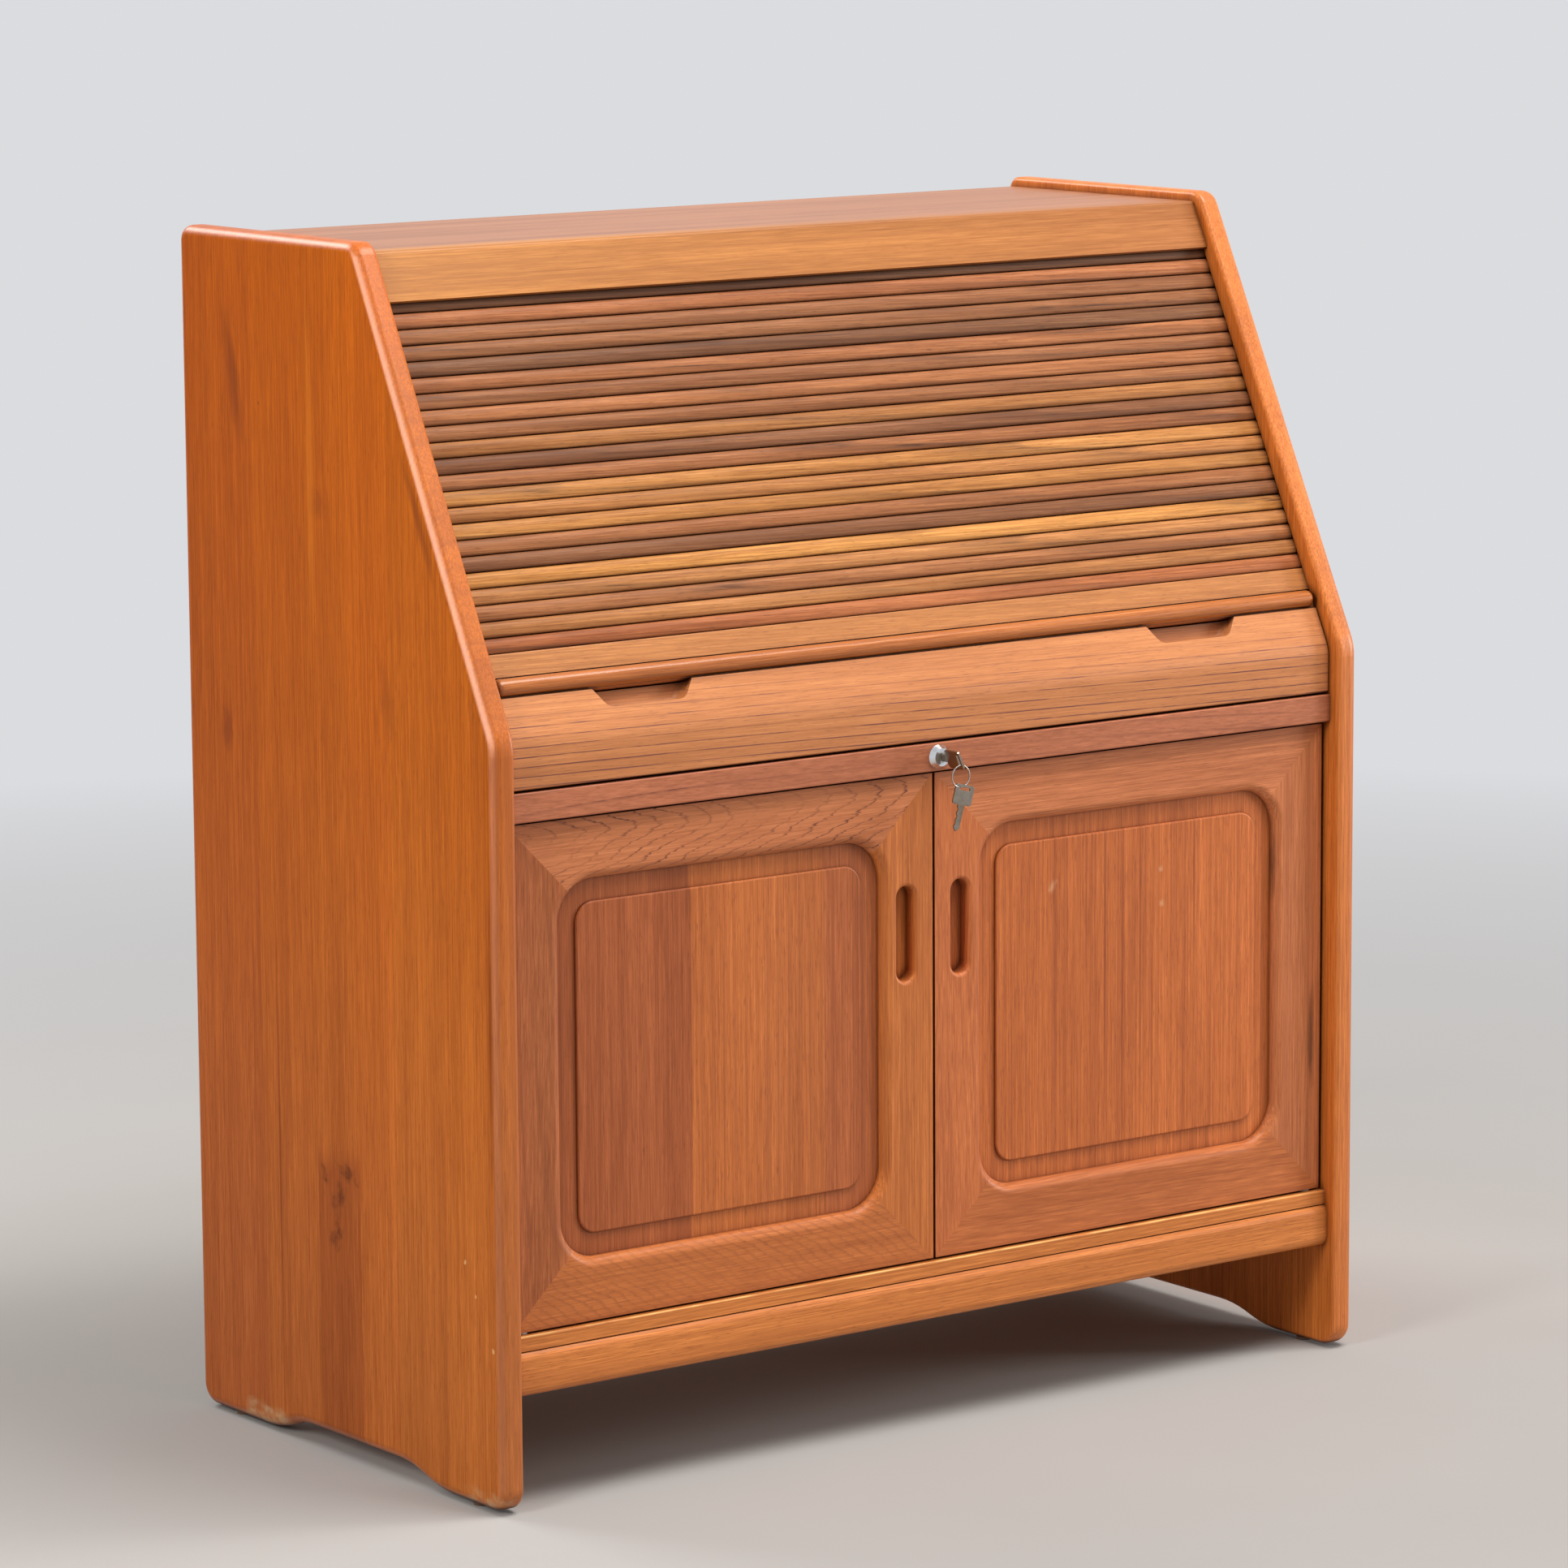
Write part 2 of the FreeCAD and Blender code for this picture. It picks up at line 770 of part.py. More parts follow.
def lower_boards():
    rail_section = section(("rail_set", "rail_rear"), ("rail_bottom", "rail_top"))
    rail_edges = [(rail_section[:2], "rail_round")]
    rail = profile(new_body("lock_rail_board"), rail_section, "inner_half", rail_edges)
    holes = [
        rod("lock_hole", "barrel_radius + hole_clearance", "rail_depth", "0", "rail_set", "lock_height", "y")
    ]
    floor_section = section(("floor_set", "back_front"), ("floor_bottom", "floor_top"))
    nosing = [([floor_section[1]], "floor_round")]
    floor = profile(new_body("cabinet_floor_board"), floor_section, "inner_half", nosing)
    sockets = []
    for name, sign in SIDES:
        place = f"{sign} * pivot_place"
        radius = "bush_radius + hole_clearance"
        holes.append(rod(f"{name}_rail_socket", radius, "bush_length", place, "pivot_depth", "rail_bottom"))
        low = "floor_top - bush_length"
        sockets.append(rod(f"{name}_floor_socket", radius, "bush_length", place, "pivot_depth", low))
    node("lock_rail", cut("lock_rail", rail, holes))
    node("cabinet_floor", cut("cabinet_floor", floor, sockets))
    apron_section = section(
        ("apron_set", "apron_set + apron_thick"), ("floor_bottom - apron_height", "floor_bottom")
    )
    apron_edges = [(apron_section[:2], "apron_round")]
    node("apron", profile(new_body("apron"), apron_section, "inner_half", apron_edges))
    node(
        "dust_board",
        wide_board("dust_board", "inner_half", ("dust_front", "back_front"), ("dust_bottom", "dust_top")),
    )
    node(
        "back_panel",
        wide_board(
            "back_panel",
            "inner_half + back_let_in - back_clearance",
            ("back_front", "back_rear"),
            ("floor_bottom", "top_bottom"),
        ),
    )


def cabinet_shelf():
    half = "inner_half - shelf_clearance"
    levels = ("shelf_bottom", "shelf_level")
    node("cabinet_shelf", wide_board("cabinet_shelf", half, ("shelf_front", "shelf_rear"), levels))
    pins = []
    for name, sign in SIDES:
        low, _ = mirrored(sign, "inner_half - pin_reach", "inner_half + pin_let_in")
        for depth in ("pin_front", "pin_rear"):
            level = "shelf_bottom - pin_radius"
            length = "pin_reach + pin_let_in"
            pins.append(rod(f"{name}_{depth}", "pin_radius", length, low, depth, level, "x"))
    node("shelf_pins", group("shelf_pins", pins))


# Inside behind the curtain


def lining():
    """Thin bent sheet that keeps the curtain's run at the top and back apart from the pigeonholes."""
    points = [
        at_depth("lining_front", "deck_top"),
        (*at_depth("lining_front", "bend_level"), "lining_inner_radius", "left"),
        at_depth("rear_bend", "bend_level + lining_inner_radius"),
        at_depth("bend_depth", "bend_level + lining_inner_radius"),
        at_depth("bend_depth", "bend_level + lining_radius"),
        (*at_depth("rear_bend", "bend_level + lining_radius"), "lining_radius", "right"),
        at_depth("rear_bend + lining_radius", "bend_level"),
        at_depth("rear_bend + lining_radius", "deck_top"),
    ]
    node("inner_lining", profile(new_body("inner_lining"), points, "inner_half"))


def pigeonholes():
    depth = ("deck_front", "back_front")
    levels = ("deck_bottom", "deck_top")
    node("organiser_deck", wide_board("organiser_deck", "inner_half", depth, levels))
    depth = ("pigeon_front", "lining_front")
    top = ("pigeon_top - pigeon_thick", "pigeon_top")
    node("organiser_top", wide_board("organiser_top", "inner_half", depth, top))
    half = "pigeon_thick / 2"
    upright = ("deck_top", "pigeon_top - pigeon_thick")
    for name, steps in (("outer_left", -2), ("inner_left", -1), ("inner_right", 1), ("outer_right", 2)):
        middle = f"{steps} * divider_spacing"
        label = name + "_divider"
        node(label, board(label, (f"{middle} - {half}", f"{middle} + {half}"), depth, upright))
    level = ("letter_level", "letter_level + pigeon_thick")
    for name, sign in SIDES:
        label = name + "_letter_shelf"
        ends = mirrored(sign, f"2 * divider_spacing + {half}", "inner_half")
        node(label, board(label, ends, depth, level))
    label = "middle_letter_shelf"
    node(label, wide_board(label, f"divider_spacing - {half}", depth, level))


# Curtain


def curtain_slat(half, width, thick, crown):
    """One slat about its own middle: flat back, short edges, gently rounded front."""
    edge = thick / 2 - crown
    low_back = Vector(-half, -width / 2, -thick / 2)
    low_front = Vector(-half, -width / 2, edge)
    high_front = Vector(-half, width / 2, edge)
    high_back = Vector(-half, width / 2, -thick / 2)
    lines = [
        Part.LineSegment(high_front, high_back).toShape(),
        Part.LineSegment(high_back, low_back).toShape(),
        Part.LineSegment(low_back, low_front).toShape(),
        Part.Arc(low_front, Vector(-half, 0, thick / 2), high_front).toShape(),
    ]
    return Part.Face(Part.Wire(Part.__sortEdges__(lines))).extrude(X_AXIS * (2 * half))


def curtain_slats():
    """Equal slats up the slope and over the first bend, a pitch apart on the canvas behind them."""
    pitch = value("slat_pitch")
    bend = value("bend_along")
    centre = Vector(0, bend, -value("bend_set"))
    first = value("lead_top") + pitch / 2
    straight = math.floor((bend - first) / pitch) + 1
    slat = curtain_slat(
        value("slat_half"), value("slat_pitch - slat_gap"), value("slat_thick"), value("slat_crown")
    )
    slats = []
    for number in range(straight + SLATS_IN_BEND):
        along = first + number * pitch
        if number < straight:
            place = Placement(Vector(0, along, -value("track_set")), Rotation())
        else:
            angle = math.degrees((along - bend) / value("canvas_radius - canvas_thick / 2"))
            bend_turn = Rotation(X_AXIS, -angle)
            place = Placement(centre + bend_turn.multVec(Vector(0, 0, value("track_bend"))), bend_turn)
        piece = slat.copy()
        piece.Placement = place
        slats.append(piece)
    item = doc.addObject("Part::Feature", "tambour_slats")
    item.Shape = Part.makeCompound(slats)
    turn(item, X_AXIS, "slope_turn")
    node("tambour_slats", put(item, depth="0", z="shoulder_height"))


def curtain():
    curtain_slats()
    canvas_front = "track_set + slat_thick / 2"
    low = "lead_top - canvas_lap"
    canvas = [
        (low, f"-({canvas_front})"),
        ("bend_along", f"-({canvas_front})", "canvas_radius", "right"),
        ("bend_along + canvas_radius * cos(lean)", "canvas_radius * sin(lean) - bend_set"),
        (
            "bend_along + canvas_inner_radius * cos(lean)",
            "canvas_inner_radius * sin(lean) - bend_set",
            "canvas_inner_radius",
            "left",
        ),
        ("bend_along", f"-({canvas_front} + canvas_thick)"),
        (low, f"-({canvas_front} + canvas_thick)"),
    ]
    node("tambour_canvas", profile(slope_body("tambour_canvas"), canvas, "inner_half - canvas_inset"))
    front = "slat_thick / 2 - track_set"
    back = "-slat_thick / 2 - track_set"
    upper_edge = ("lead_top", front)
    bead_top = "bead_low + bead_width"
    quirk_floor = f"{front} - quirk_depth"
    rail = [
        ("lead_low", back),
        ("lead_low", front),
        (bead_top, front),
        (bead_top, quirk_floor),
        (f"{bead_top} + quirk_width", quirk_floor),
        (f"{bead_top} + quirk_width", front),
        upper_edge,
        ("lead_top", back),
    ]
    body = profile(slope_body("tambour_lead_rail"), rail, "slat_half", [([upper_edge], "lead_round")])
    node("tambour_lead_rail", body)
    radius = "bead_width / 2"
    shoulder = f"{front} + bead_proud - {radius}"
    bead = [
        ("bead_low", front),
        (bead_top, front),
        (bead_top, shoulder, radius, "left"),
        (f"bead_low + {radius}", f"{front} + bead_proud", radius, "left"),
        ("bead_low", shoulder),
    ]
    body = profile(slope_body("tambour_bead"), bead, "inner_half - bead_end_clearance")
    end = value("inner_half - bead_end_clearance")
    back_face = value(front)

    def front_end(edge):
        box = edge.BoundBox
        at_end = abs(abs(box.XMin) - end) < TOUCH and box.XLength < TOUCH
        return at_end and box.ZMax > back_face + TOUCH and edge.Curve.TypeId == "Part::GeomCircle"

    round_edges(body, front_end, "bead_end_round")
    node("tambour_bead", body)


# Writing slide


def slide_front():
    """Bent front of the slide, upright below and sloping above, with two finger recesses in its top edge."""
    body = slope_body("slide_front")
    front_bottom = on_slope("slide_set", "slide_bottom")
    front_bend = ("slide_set * tan(lean / 2)", "-slide_set")
    front_top = ("slide_top", "-slide_set")
    back_top = ("slide_top", "-slide_back")
    back_bend = ("slide_back * tan(lean / 2)", "-slide_back")
    back_bottom = on_slope("slide_back", "slide_bottom")
    rounds = [
        ([front_bend], "slide_front_round"),
        ([back_bend], "slide_back_round"),
        ([front_bottom, front_top], "slide_edge_round"),
    ]
    points = [front_bottom, front_bend, front_top, back_top, back_bend, back_bottom]
    profile(body, points, "slide_half", rounds)
    low = value("slide_top - recess_height")
    floor = value("-slide_set - recess_depth")
    for _, sign in SIDES:
        middle = f"{sign} * recess_place"
        rim = "slide_top + overrun"
        flare = "(recess_width - recess_floor_width) / 2 / recess_height * (recess_height + overrun)"
        cutter = [
            (f"{middle} - recess_floor_width / 2", "slide_top - recess_height"),
            (f"{middle} + recess_floor_width / 2", "slide_top - recess_height"),
            (f"{middle} + recess_floor_width / 2 + {flare}", rim),
            (f"{middle} - recess_floor_width / 2 - {flare}", rim),
        ]
        pocket(body, outline(body, "XY_Plane", cutter, "-slide_set"), "recess_depth")

    def low_corner(edge):
        box = edge.BoundBox
        upright = box.XLength < TOUCH and box.YLength < TOUCH
        return upright and box.ZLength > TOUCH and abs(box.YMin - low) < TOUCH

    round_edges(body, low_corner, "recess_corner")

    def floor_edge(edge):
        box = edge.BoundBox
        flat = box.ZLength < TOUCH and abs(box.ZMin - floor) < TOUCH
        return flat and box.YMin < value("slide_top") - TOUCH

    round_edges(body, floor_edge, "recess_cove")
    node("slide_front", body)


def writing_slide():
    slide_front()
    points = [
        at_depth(slope_depth("board_bottom", "slide_back"), "board_bottom"),
        at_depth(slope_depth("board_top", "slide_back"), "board_top"),
        at_depth("board_rear", "board_top"),
        at_depth("board_rear", "board_bottom"),
    ]
    node("writing_board", profile(new_body("writing_board"), points, "slide_half"))
    depth = ("cleat_front", "cleat_front + cleat_thick")
    levels = ("board_bottom - cleat_height", "board_bottom")
    node("slide_cleat", wide_board("slide_cleat", "cleat_length / 2", depth, levels))
    depth = ("strike_front", "strike_front + strike_thick")
    node("lock_strike", wide_board("lock_strike", "strike_width / 2", depth, ("strike_low", "board_bottom")))
    for name, sign in SIDES:
        label = name + "_slide_runner"
        ends = mirrored(sign, "runner_inner", "inner_half")
        levels = ("runner_top - runner_height", "runner_top")
        node(label, board(label, ends, ("runner_front", "runner_rear"), levels))
    depth = ("stop_front", "stop_rear")
    levels = ("stop_top - stop_height", "stop_top")
    node("slide_stop_rail", wide_board("slide_stop_rail", "runner_inner", depth, levels))


# Doors


def door_opening(sign, inset, low_z="door_bottom", high_z="door_top"):
    """Edges of the door's panel opening, moved in (or out, below zero) by an inset."""
    step = f"(frame_width + {inset})"
    low, high = mirrored(sign, f"(door_inner + {step})", f"(door_outer - {step})")
    return low, high, f"({low_z} + {step})", f"({high_z} - {step})"


def on_opening(sign):
    """Test for edges on the rim of the door's panel opening, in the plane of the frame's front."""
    low, high, bottom, top = (value(text) for text in door_opening(sign, "0"))
    radius = value("opening_round")

    def chosen(edge):
        box = edge.BoundBox
        if box.YLength > TOUCH or abs(box.YMin) > TOUCH:
            return False
        spot = edge.valueAt((edge.FirstParameter + edge.LastParameter) / 2)
        across = abs(spot.x - (low + high) / 2) - (high - low) / 2 + radius
        up = abs(spot.z - (bottom + top) / 2) - (top - bottom) / 2 + radius
        off = min(max(across, up), 0) + math.hypot(max(across, 0), max(up, 0)) - radius
        return abs(off) < TOUCH

    return chosen


def frame_piece(name, sign, points):
    """Mitred piece of a door frame: cut to the rounded opening, rabbeted for the panel, rounded inside."""
    body = new_body(name)
    put(body, depth="door_set")
    pad(body, outline(body, "XZ_Plane", points), "door_thick", backwards=True)
    opening = rounded_rectangle(*door_opening(sign, "0"), "opening_round")
    pocket(body, outline(body, "XZ_Plane", opening), "door_thick")
    rabbet = rounded_rectangle(*door_opening(sign, "-rabbet_width"), "(opening_round + rabbet_width)")
    pocket(body, outline(body, "XZ_Plane", rabbet, "-lip_thick"), "rabbet_depth")
    round_edges(body, on_opening(sign), "frame_round")
    return body


def stile_points(edge, inward):
    inner = f"{edge} + {inward} * mitre_depth"
    return [
        (edge, "door_bottom"),
        (inner, "door_bottom + mitre_depth"),
        (inner, "door_top - mitre_depth"),
        (edge, "door_top"),
    ]


def rail_points(sign, edge, upward):
    low, high = mirrored(sign, "door_inner", "door_outer")
    inner = f"{edge} + {upward} * mitre_depth"
    return [(low, edge), (high, edge), (f"{high} - mitre_depth", inner), (f"{low} + mitre_depth", inner)]


def pivot_hole(body, sign, edge):
    """Hole for a pivot pin, down from the door's top edge or up from its bottom edge."""
    centre = [(f"{sign} * pivot_place", "pivot_set")]
    hole = discs(body, "XY_Plane", centre, "pivot_radius + hole_clearance", edge)
    pocket(body, hole, "pivot_let_in", backwards=edge == "door_bottom")


def hinge_stile(name, sign):
    label = name + "_door_hinge_stile"
    body = frame_piece(label, sign, stile_points(f"{sign} * door_outer", -sign))
    for edge in ("door_bottom", "door_top"):
        pivot_hole(body, sign, edge)
    node(label, body)


def meeting_stile(name, sign):
    """Stile at the middle of the desk, with the finger pull sunk in its face."""
    label = name + "_door_meeting_stile"
    body = frame_piece(label, sign, stile_points(f"{sign} * door_inner", sign))
    middle = f"{sign} * (door_inner + pull_inset)"
    slot = upright_slot(middle, "pull_low", "(pull_low + pull_height)", "(pull_width / 2)")
    pocket(body, outline(body, "XZ_Plane", slot), "pull_depth")
    centre = value(middle)
    reach = value("pull_width / 2")

    def slot_rim(edge):
        box = edge.BoundBox
        in_front = box.YLength < TOUCH and abs(box.YMin) < TOUCH
        return in_front and max(abs(box.XMin - centre), abs(box.XMax - centre)) < reach + TOUCH

    round_edges(body, slot_rim, "pull_edge_round")
    node(label, body)


def door_panel(name, sign):
    """Panel in the rabbet with a raised field in front."""
    label = name + "_door_panel"
    body = new_body(label)
    put(body, depth="door_set + lip_thick")
    edge = rounded_rectangle(*door_opening(sign, "-panel_lap"), "(opening_round + panel_lap)")
    pad(body, outline(body, "XZ_Plane", edge), "rabbet_depth", backwards=True)
    field = rounded_rectangle(*door_opening(sign, "field_inset"), "field_round")
    pad(body, outline(body, "XZ_Plane", field), "field_proud")
    front = -value("field_proud")
    round_edges(body, lambda rim: rim.BoundBox.YMax < front + TOUCH, "field_edge_round")
    node(label, body)


def door_fittings(name, sign):
    x = f"{sign} * pivot_place"
    length = "pivot_let_in + door_bottom_gap + pivot_reach"
    low = rod(name + "_low_pivot", "pivot_radius", length, x, "pivot_depth", "floor_top - pivot_reach")
    length = "pivot_let_in + door_top_gap + pivot_reach"
    high = rod(name + "_high_pivot", "pivot_radius", length, x, "pivot_depth", "door_top - pivot_let_in")
    node(name + "_door_pivots", group(name + "_door_pivots", [low, high]))
    top = "door_top - plate_drop"
    ends = mirrored(sign, "plate_inset", "plate_inset + plate_width")
    label = name + "_door_catch_plate"
    plate = board(label, ends, ("door_rear", "door_rear + plate_thick"), (f"{top} - plate_height", top))
    node(label, plate)


def door(name, sign):
    hinge_stile(name, sign)
    meeting_stile(name, sign)
    for label, edge, upward in (("top", "door_top", -1), ("bottom", "door_bottom", 1)):
        label = f"{name}_door_{label}_rail"
        body = frame_piece(label, sign, rail_points(sign, edge, upward))
        pivot_hole(body, sign, edge)
        node(label, body)
    door_panel(name, sign)
    door_fittings(name, sign)


def pivot_bush(name, x, barrel_low, flange_low):
    barrel = rod(name + "_barrel", "bush_radius", "bush_length", x, "pivot_depth", barrel_low)
    flange = rod(name + "_flange", "bush_flange_radius", "bush_flange_thick", x, "pivot_depth", flange_low)
    low = f"min({barrel_low}; {flange_low})"
    bore = rod(
        name + "_bore",
        "pivot_radius + running_clearance",
        "bush_length + bush_flange_thick",
        x,
        "pivot_depth",
        low,
    )
    return cut(name, fuse(name + "_blank", barrel, flange), [bore])


def case_fittings():
    """Bushes that the doors turn in, and the catches that hold them shut."""
    bushes = []
    catches = []
    for name, sign in SIDES:
        x = f"{sign} * pivot_place"
        bushes.append(pivot_bush(name + "_floor_bush", x, "floor_top - bush_length", "floor_top"))
        bushes.append(pivot_bush(name + "_rail_bush", x, "rail_bottom", "rail_bottom - bush_flange_thick"))
        front = "door_rear + plate_thick + catch_gap"
        start = "plate_inset + (plate_width - catch_width) / 2"
        ends = mirrored(sign, start, f"{start} + catch_width")
        levels = ("dust_bottom - catch_height", "dust_bottom")
        catches.append(board(name + "_catch", ends, (front, f"{front} + catch_depth"), levels))
    node("pivot_bushes", group("pivot_bushes", bushes))
    node("door_catches", group("door_catches", catches))


# Lock


def lock():
    bezel = doc.addObject("Part::Cone", "lock_bezel")
    bind(bezel, Radius1="bezel_radius", Radius2="bezel_face_radius", Height="bezel_depth")
    turn(bezel, X_AXIS, "90 deg")
    put(bezel, depth="rail_set", z="lock_height")
    barrel_length = "rail_depth + nut_thick"
    barrel = rod("lock_barrel", "barrel_radius", barrel_length, "0", "rail_set", "lock_height", "y")
    radius = "plug_radius + running_clearance"
    bore_length = "bezel_depth + rail_depth + nut_thick"
    bore = rod("lock_bore", radius, bore_length, "0", "bezel_face", "lock_height", "y")
    node("lock_housing", cut("lock_housing", fuse("lock_blank", bezel, barrel), [bore]))
    nut = doc.addObject("Part::Prism", "lock_nut_blank")
    nut.Polygon = 6
    bind(nut, Circumradius="nut_radius", Height="nut_thick")
    turn(nut, X_AXIS, "-90 deg")
    put(nut, depth="rail_rear", z="lock_height")
    radius = "barrel_radius + hole_clearance"
    hole = rod("lock_nut_hole", radius, "nut_thick", "0", "rail_rear", "lock_height", "y")
    node("lock_nut", cut("lock_nut", nut, [hole]))


def turning_body(name, depth):
    """Body on the axis of the lock, turned to the key's place."""
    body = new_body(name)
    turn(body, Y_AXIS, f"-{KEY_TILT}")
    return put(body, depth=depth, z="lock_height")


def lock_plug():
    body = turning_body("lock_plug", "bezel_face")
    centre = [("0", "0")]
    length = "cam_front - bezel_face"
    pad(body, discs(body, "XZ_Plane", centre, "plug_radius"), length, backwards=True)
    tail = discs(body, "XZ_Plane", centre, "tail_radius", f"-({length})")
    pad(body, tail, "cam_thick + tail_overhang", backwards=True)
    wide = "(key_thick / 2 + keyway_clearance)"
    high = "(key_blade_width / 2 + keyway_clearance)"
    keyway = outline(body, "XZ_Plane", rectangle(f"-{wide}", wide, f"-{high}", high))
    pocket(body, keyway, "key_blade_length + keyway_clearance")
    node("lock_plug", body)


def lock_cam():
    body = new_body("lock_cam")
    put(body, depth="cam_front", z="lock_height")
    half = "cam_half_width"
    points = [
        ("0", f"-{half}"),
        (f"cam_reach - {half}", f"-{half}", half, "left"),
        ("cam_reach", "0", half, "left"),
        (f"cam_reach - {half}", half),
        ("0", half, half, "left"),
        (f"-{half}", "0", half, "left"),
    ]
    pad(body, outline(body, "XZ_Plane", points), "cam_thick", backwards=True)
    hole = discs(body, "XZ_Plane", [("0", "0")], "tail_radius + hole_clearance")
    pocket(body, hole, "cam_thick")
    node("lock_cam", body)


def cabinet_key():
    """Flat key in the lock: bow with a slot behind its outer bar, and a blade that fits the plug."""
    body = turning_body("cabinet_key", "bezel_face")
    half = "key_bow_width / 2"
    bow_end = "key_bow_length - key_projection"
    bow = rectangle("-key_projection", bow_end, f"-{half}", half)
    pad(body, outline(body, "YZ_Plane", bow), "key_thick", "Symmetric")
    round_edges(body, along_x_at(bow), "key_bow_round")
    blade = rectangle(bow_end, "key_blade_length", "-key_blade_width / 2", "key_blade_width / 2")
    pad(body, outline(body, "YZ_Plane", blade), "key_thick", "Symmetric")
    start = "key_bar - key_projection"
    slot = rectangle(start, f"{start} + key_slot_width", "-key_slot_length / 2", "key_slot_length / 2")
    pocket(body, outline(body, "YZ_Plane", slot, "-key_thick"), "2 * key_thick", backwards=True)
    node("cabinet_key", body)


for side_name, side_sign in SIDES:
    shaped_side(side_name + "_side", side_sign)
foot_glides()
top_and_fascia()
lower_boards()
cabinet_shelf()
lining()
pigeonholes()
curtain()
writing_slide()
for side_name, side_sign in SIDES:
    door(side_name, side_sign)
case_fittings()
lock()
lock_plug()
lock_cam()
cabinet_key()
doc.recompute()

for item in doc.Objects:
    if "Invalid" in item.State or "Error" in item.State:
        raise RuntimeError(f"{item.Name} failed: {item.State}")
for item in nodes:
    if item.Shape.isNull() or not item.Shape.isValid():
        raise RuntimeError(f"{item.Label} has no valid shape")

os.makedirs("parts", exist_ok=True)
for item in nodes:
    item.Shape.exportStep(f"parts/{item.Label}.step")
print(len(nodes), "pieces written")
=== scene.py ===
import json
import math

import bmesh
import bpy
from mathutils import Matrix, Vector


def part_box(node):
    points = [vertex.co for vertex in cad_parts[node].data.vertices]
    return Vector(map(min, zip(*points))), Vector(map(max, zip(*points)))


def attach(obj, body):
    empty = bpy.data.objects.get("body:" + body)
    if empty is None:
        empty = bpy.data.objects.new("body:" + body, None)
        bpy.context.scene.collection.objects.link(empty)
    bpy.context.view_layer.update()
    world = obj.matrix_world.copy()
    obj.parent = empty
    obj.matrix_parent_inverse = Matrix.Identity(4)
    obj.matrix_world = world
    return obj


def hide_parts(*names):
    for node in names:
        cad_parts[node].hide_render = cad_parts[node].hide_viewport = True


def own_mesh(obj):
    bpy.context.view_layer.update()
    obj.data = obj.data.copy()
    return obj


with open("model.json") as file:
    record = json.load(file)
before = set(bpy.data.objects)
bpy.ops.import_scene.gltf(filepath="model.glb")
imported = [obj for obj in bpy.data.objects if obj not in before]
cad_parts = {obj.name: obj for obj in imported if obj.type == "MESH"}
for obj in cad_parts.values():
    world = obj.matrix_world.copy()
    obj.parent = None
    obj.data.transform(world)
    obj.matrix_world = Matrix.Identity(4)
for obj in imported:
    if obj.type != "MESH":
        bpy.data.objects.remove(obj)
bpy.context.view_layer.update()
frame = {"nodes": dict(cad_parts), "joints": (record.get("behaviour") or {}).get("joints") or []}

# Looks of a teak roll-front writing desk. Metres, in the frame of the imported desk: X to the right,
# Y to the back, Z up from the floor.

MM = 0.001
AXES = "xyz"
UNTURNED = (0, 0, 0)
UNMOVED = (0, 0, 0)
X_AXIS = Vector((1, 0, 0))

# Camera of the photograph: a long lens from the left of the front, a little above the desk
IMAGE_PIXELS = 1932
FOCAL_PIXELS = 7877
SENSOR_WIDTH = 36
CAMERA_AZIMUTH = math.radians(-36.575)
CAMERA_ELEVATION = math.radians(9.269)
CAMERA_ROLL = math.radians(-0.362)
CAMERA_AIM = Vector((0, -0.01363, 0.58349))
CAMERA_SHIFT_RIGHT = -0.01339
CAMERA_SHIFT_UP = 0.02800
CAMERA_DISTANCE = 6.38965

# Slats of the roll front
SLAT_PITCH = 16.3 * MM
SLAT_GAP = 0.8 * MM
SLAT_CROWN = 2.3 * MM
SLAT_EDGE_ROUND = 0.7 * MM
SLATS_IN_BEND = 2
BEND_RADIUS = 40 * MM
CANVAS_THICK = 0.8 * MM
CANVAS_LAP = 15 * MM

# Tone of each slat from the lowest up: 0 is the darkest brown, 1 the brightest gold. The near-darkest share
# of the highest slat before the bend is partly its own dark wood and partly painted shade from under the
# fascia
SLAT_TONE_SHARES = (
    0.72, 0.66, 0.50, 0.64, 0.96, 0.18, 0.48, 0.84, 0.72, 0.82, 0.44, 0.16,
    0.66, 0.38, 0.50, 0.28, 0.40, 0.12, 0.28, 0.26, 0.34, 0.05, 0.10, 0.10,
)
# How red each slat is, in the same order
SLAT_RED_SHARES = (
    0.85, 0.10, 0.15, 0.05, 0.00, 0.10, 0.20, 0.00, 0.10, 0.00, 0.20, 0.10,
    0.00, 0.10, 0.25, 0.15, 0.30, 0.00, 0.10, 0.15, 0.45, 0.00, 0.10, 0.10,
)

# Sizes of the figure in the wood: length along the grain and width across it
BROAD_FIGURE = (0.70, 0.030)
STREAKS = (0.30, 0.0019)
FIBRES = (0.040, 0.0011)
PORES = (0.013, 0.0009)
FADING = (0.22, 0.05)
# How far rings are drawn out along a log, and the scale of a wave with one ring or thread in each unit
LOG_STRETCH = 9
RING_TURN = math.pi / 10


def linear(level):
    """Light of an 8-bit display level."""
    share = level / 255
    return share / 12.92 if share <= 0.04045 else ((share + 0.055) / 1.055) ** 2.4


def colour(red, green, blue):
    return linear(red), linear(green), linear(blue), 1


def grey(share):
    return share, share, share, 1


def shade(change):
    """Multiplier that darkens towards red or lightens towards gold."""
    return 1 + change, 1 + 1.25 * change, 1 + 1.4 * change, 1


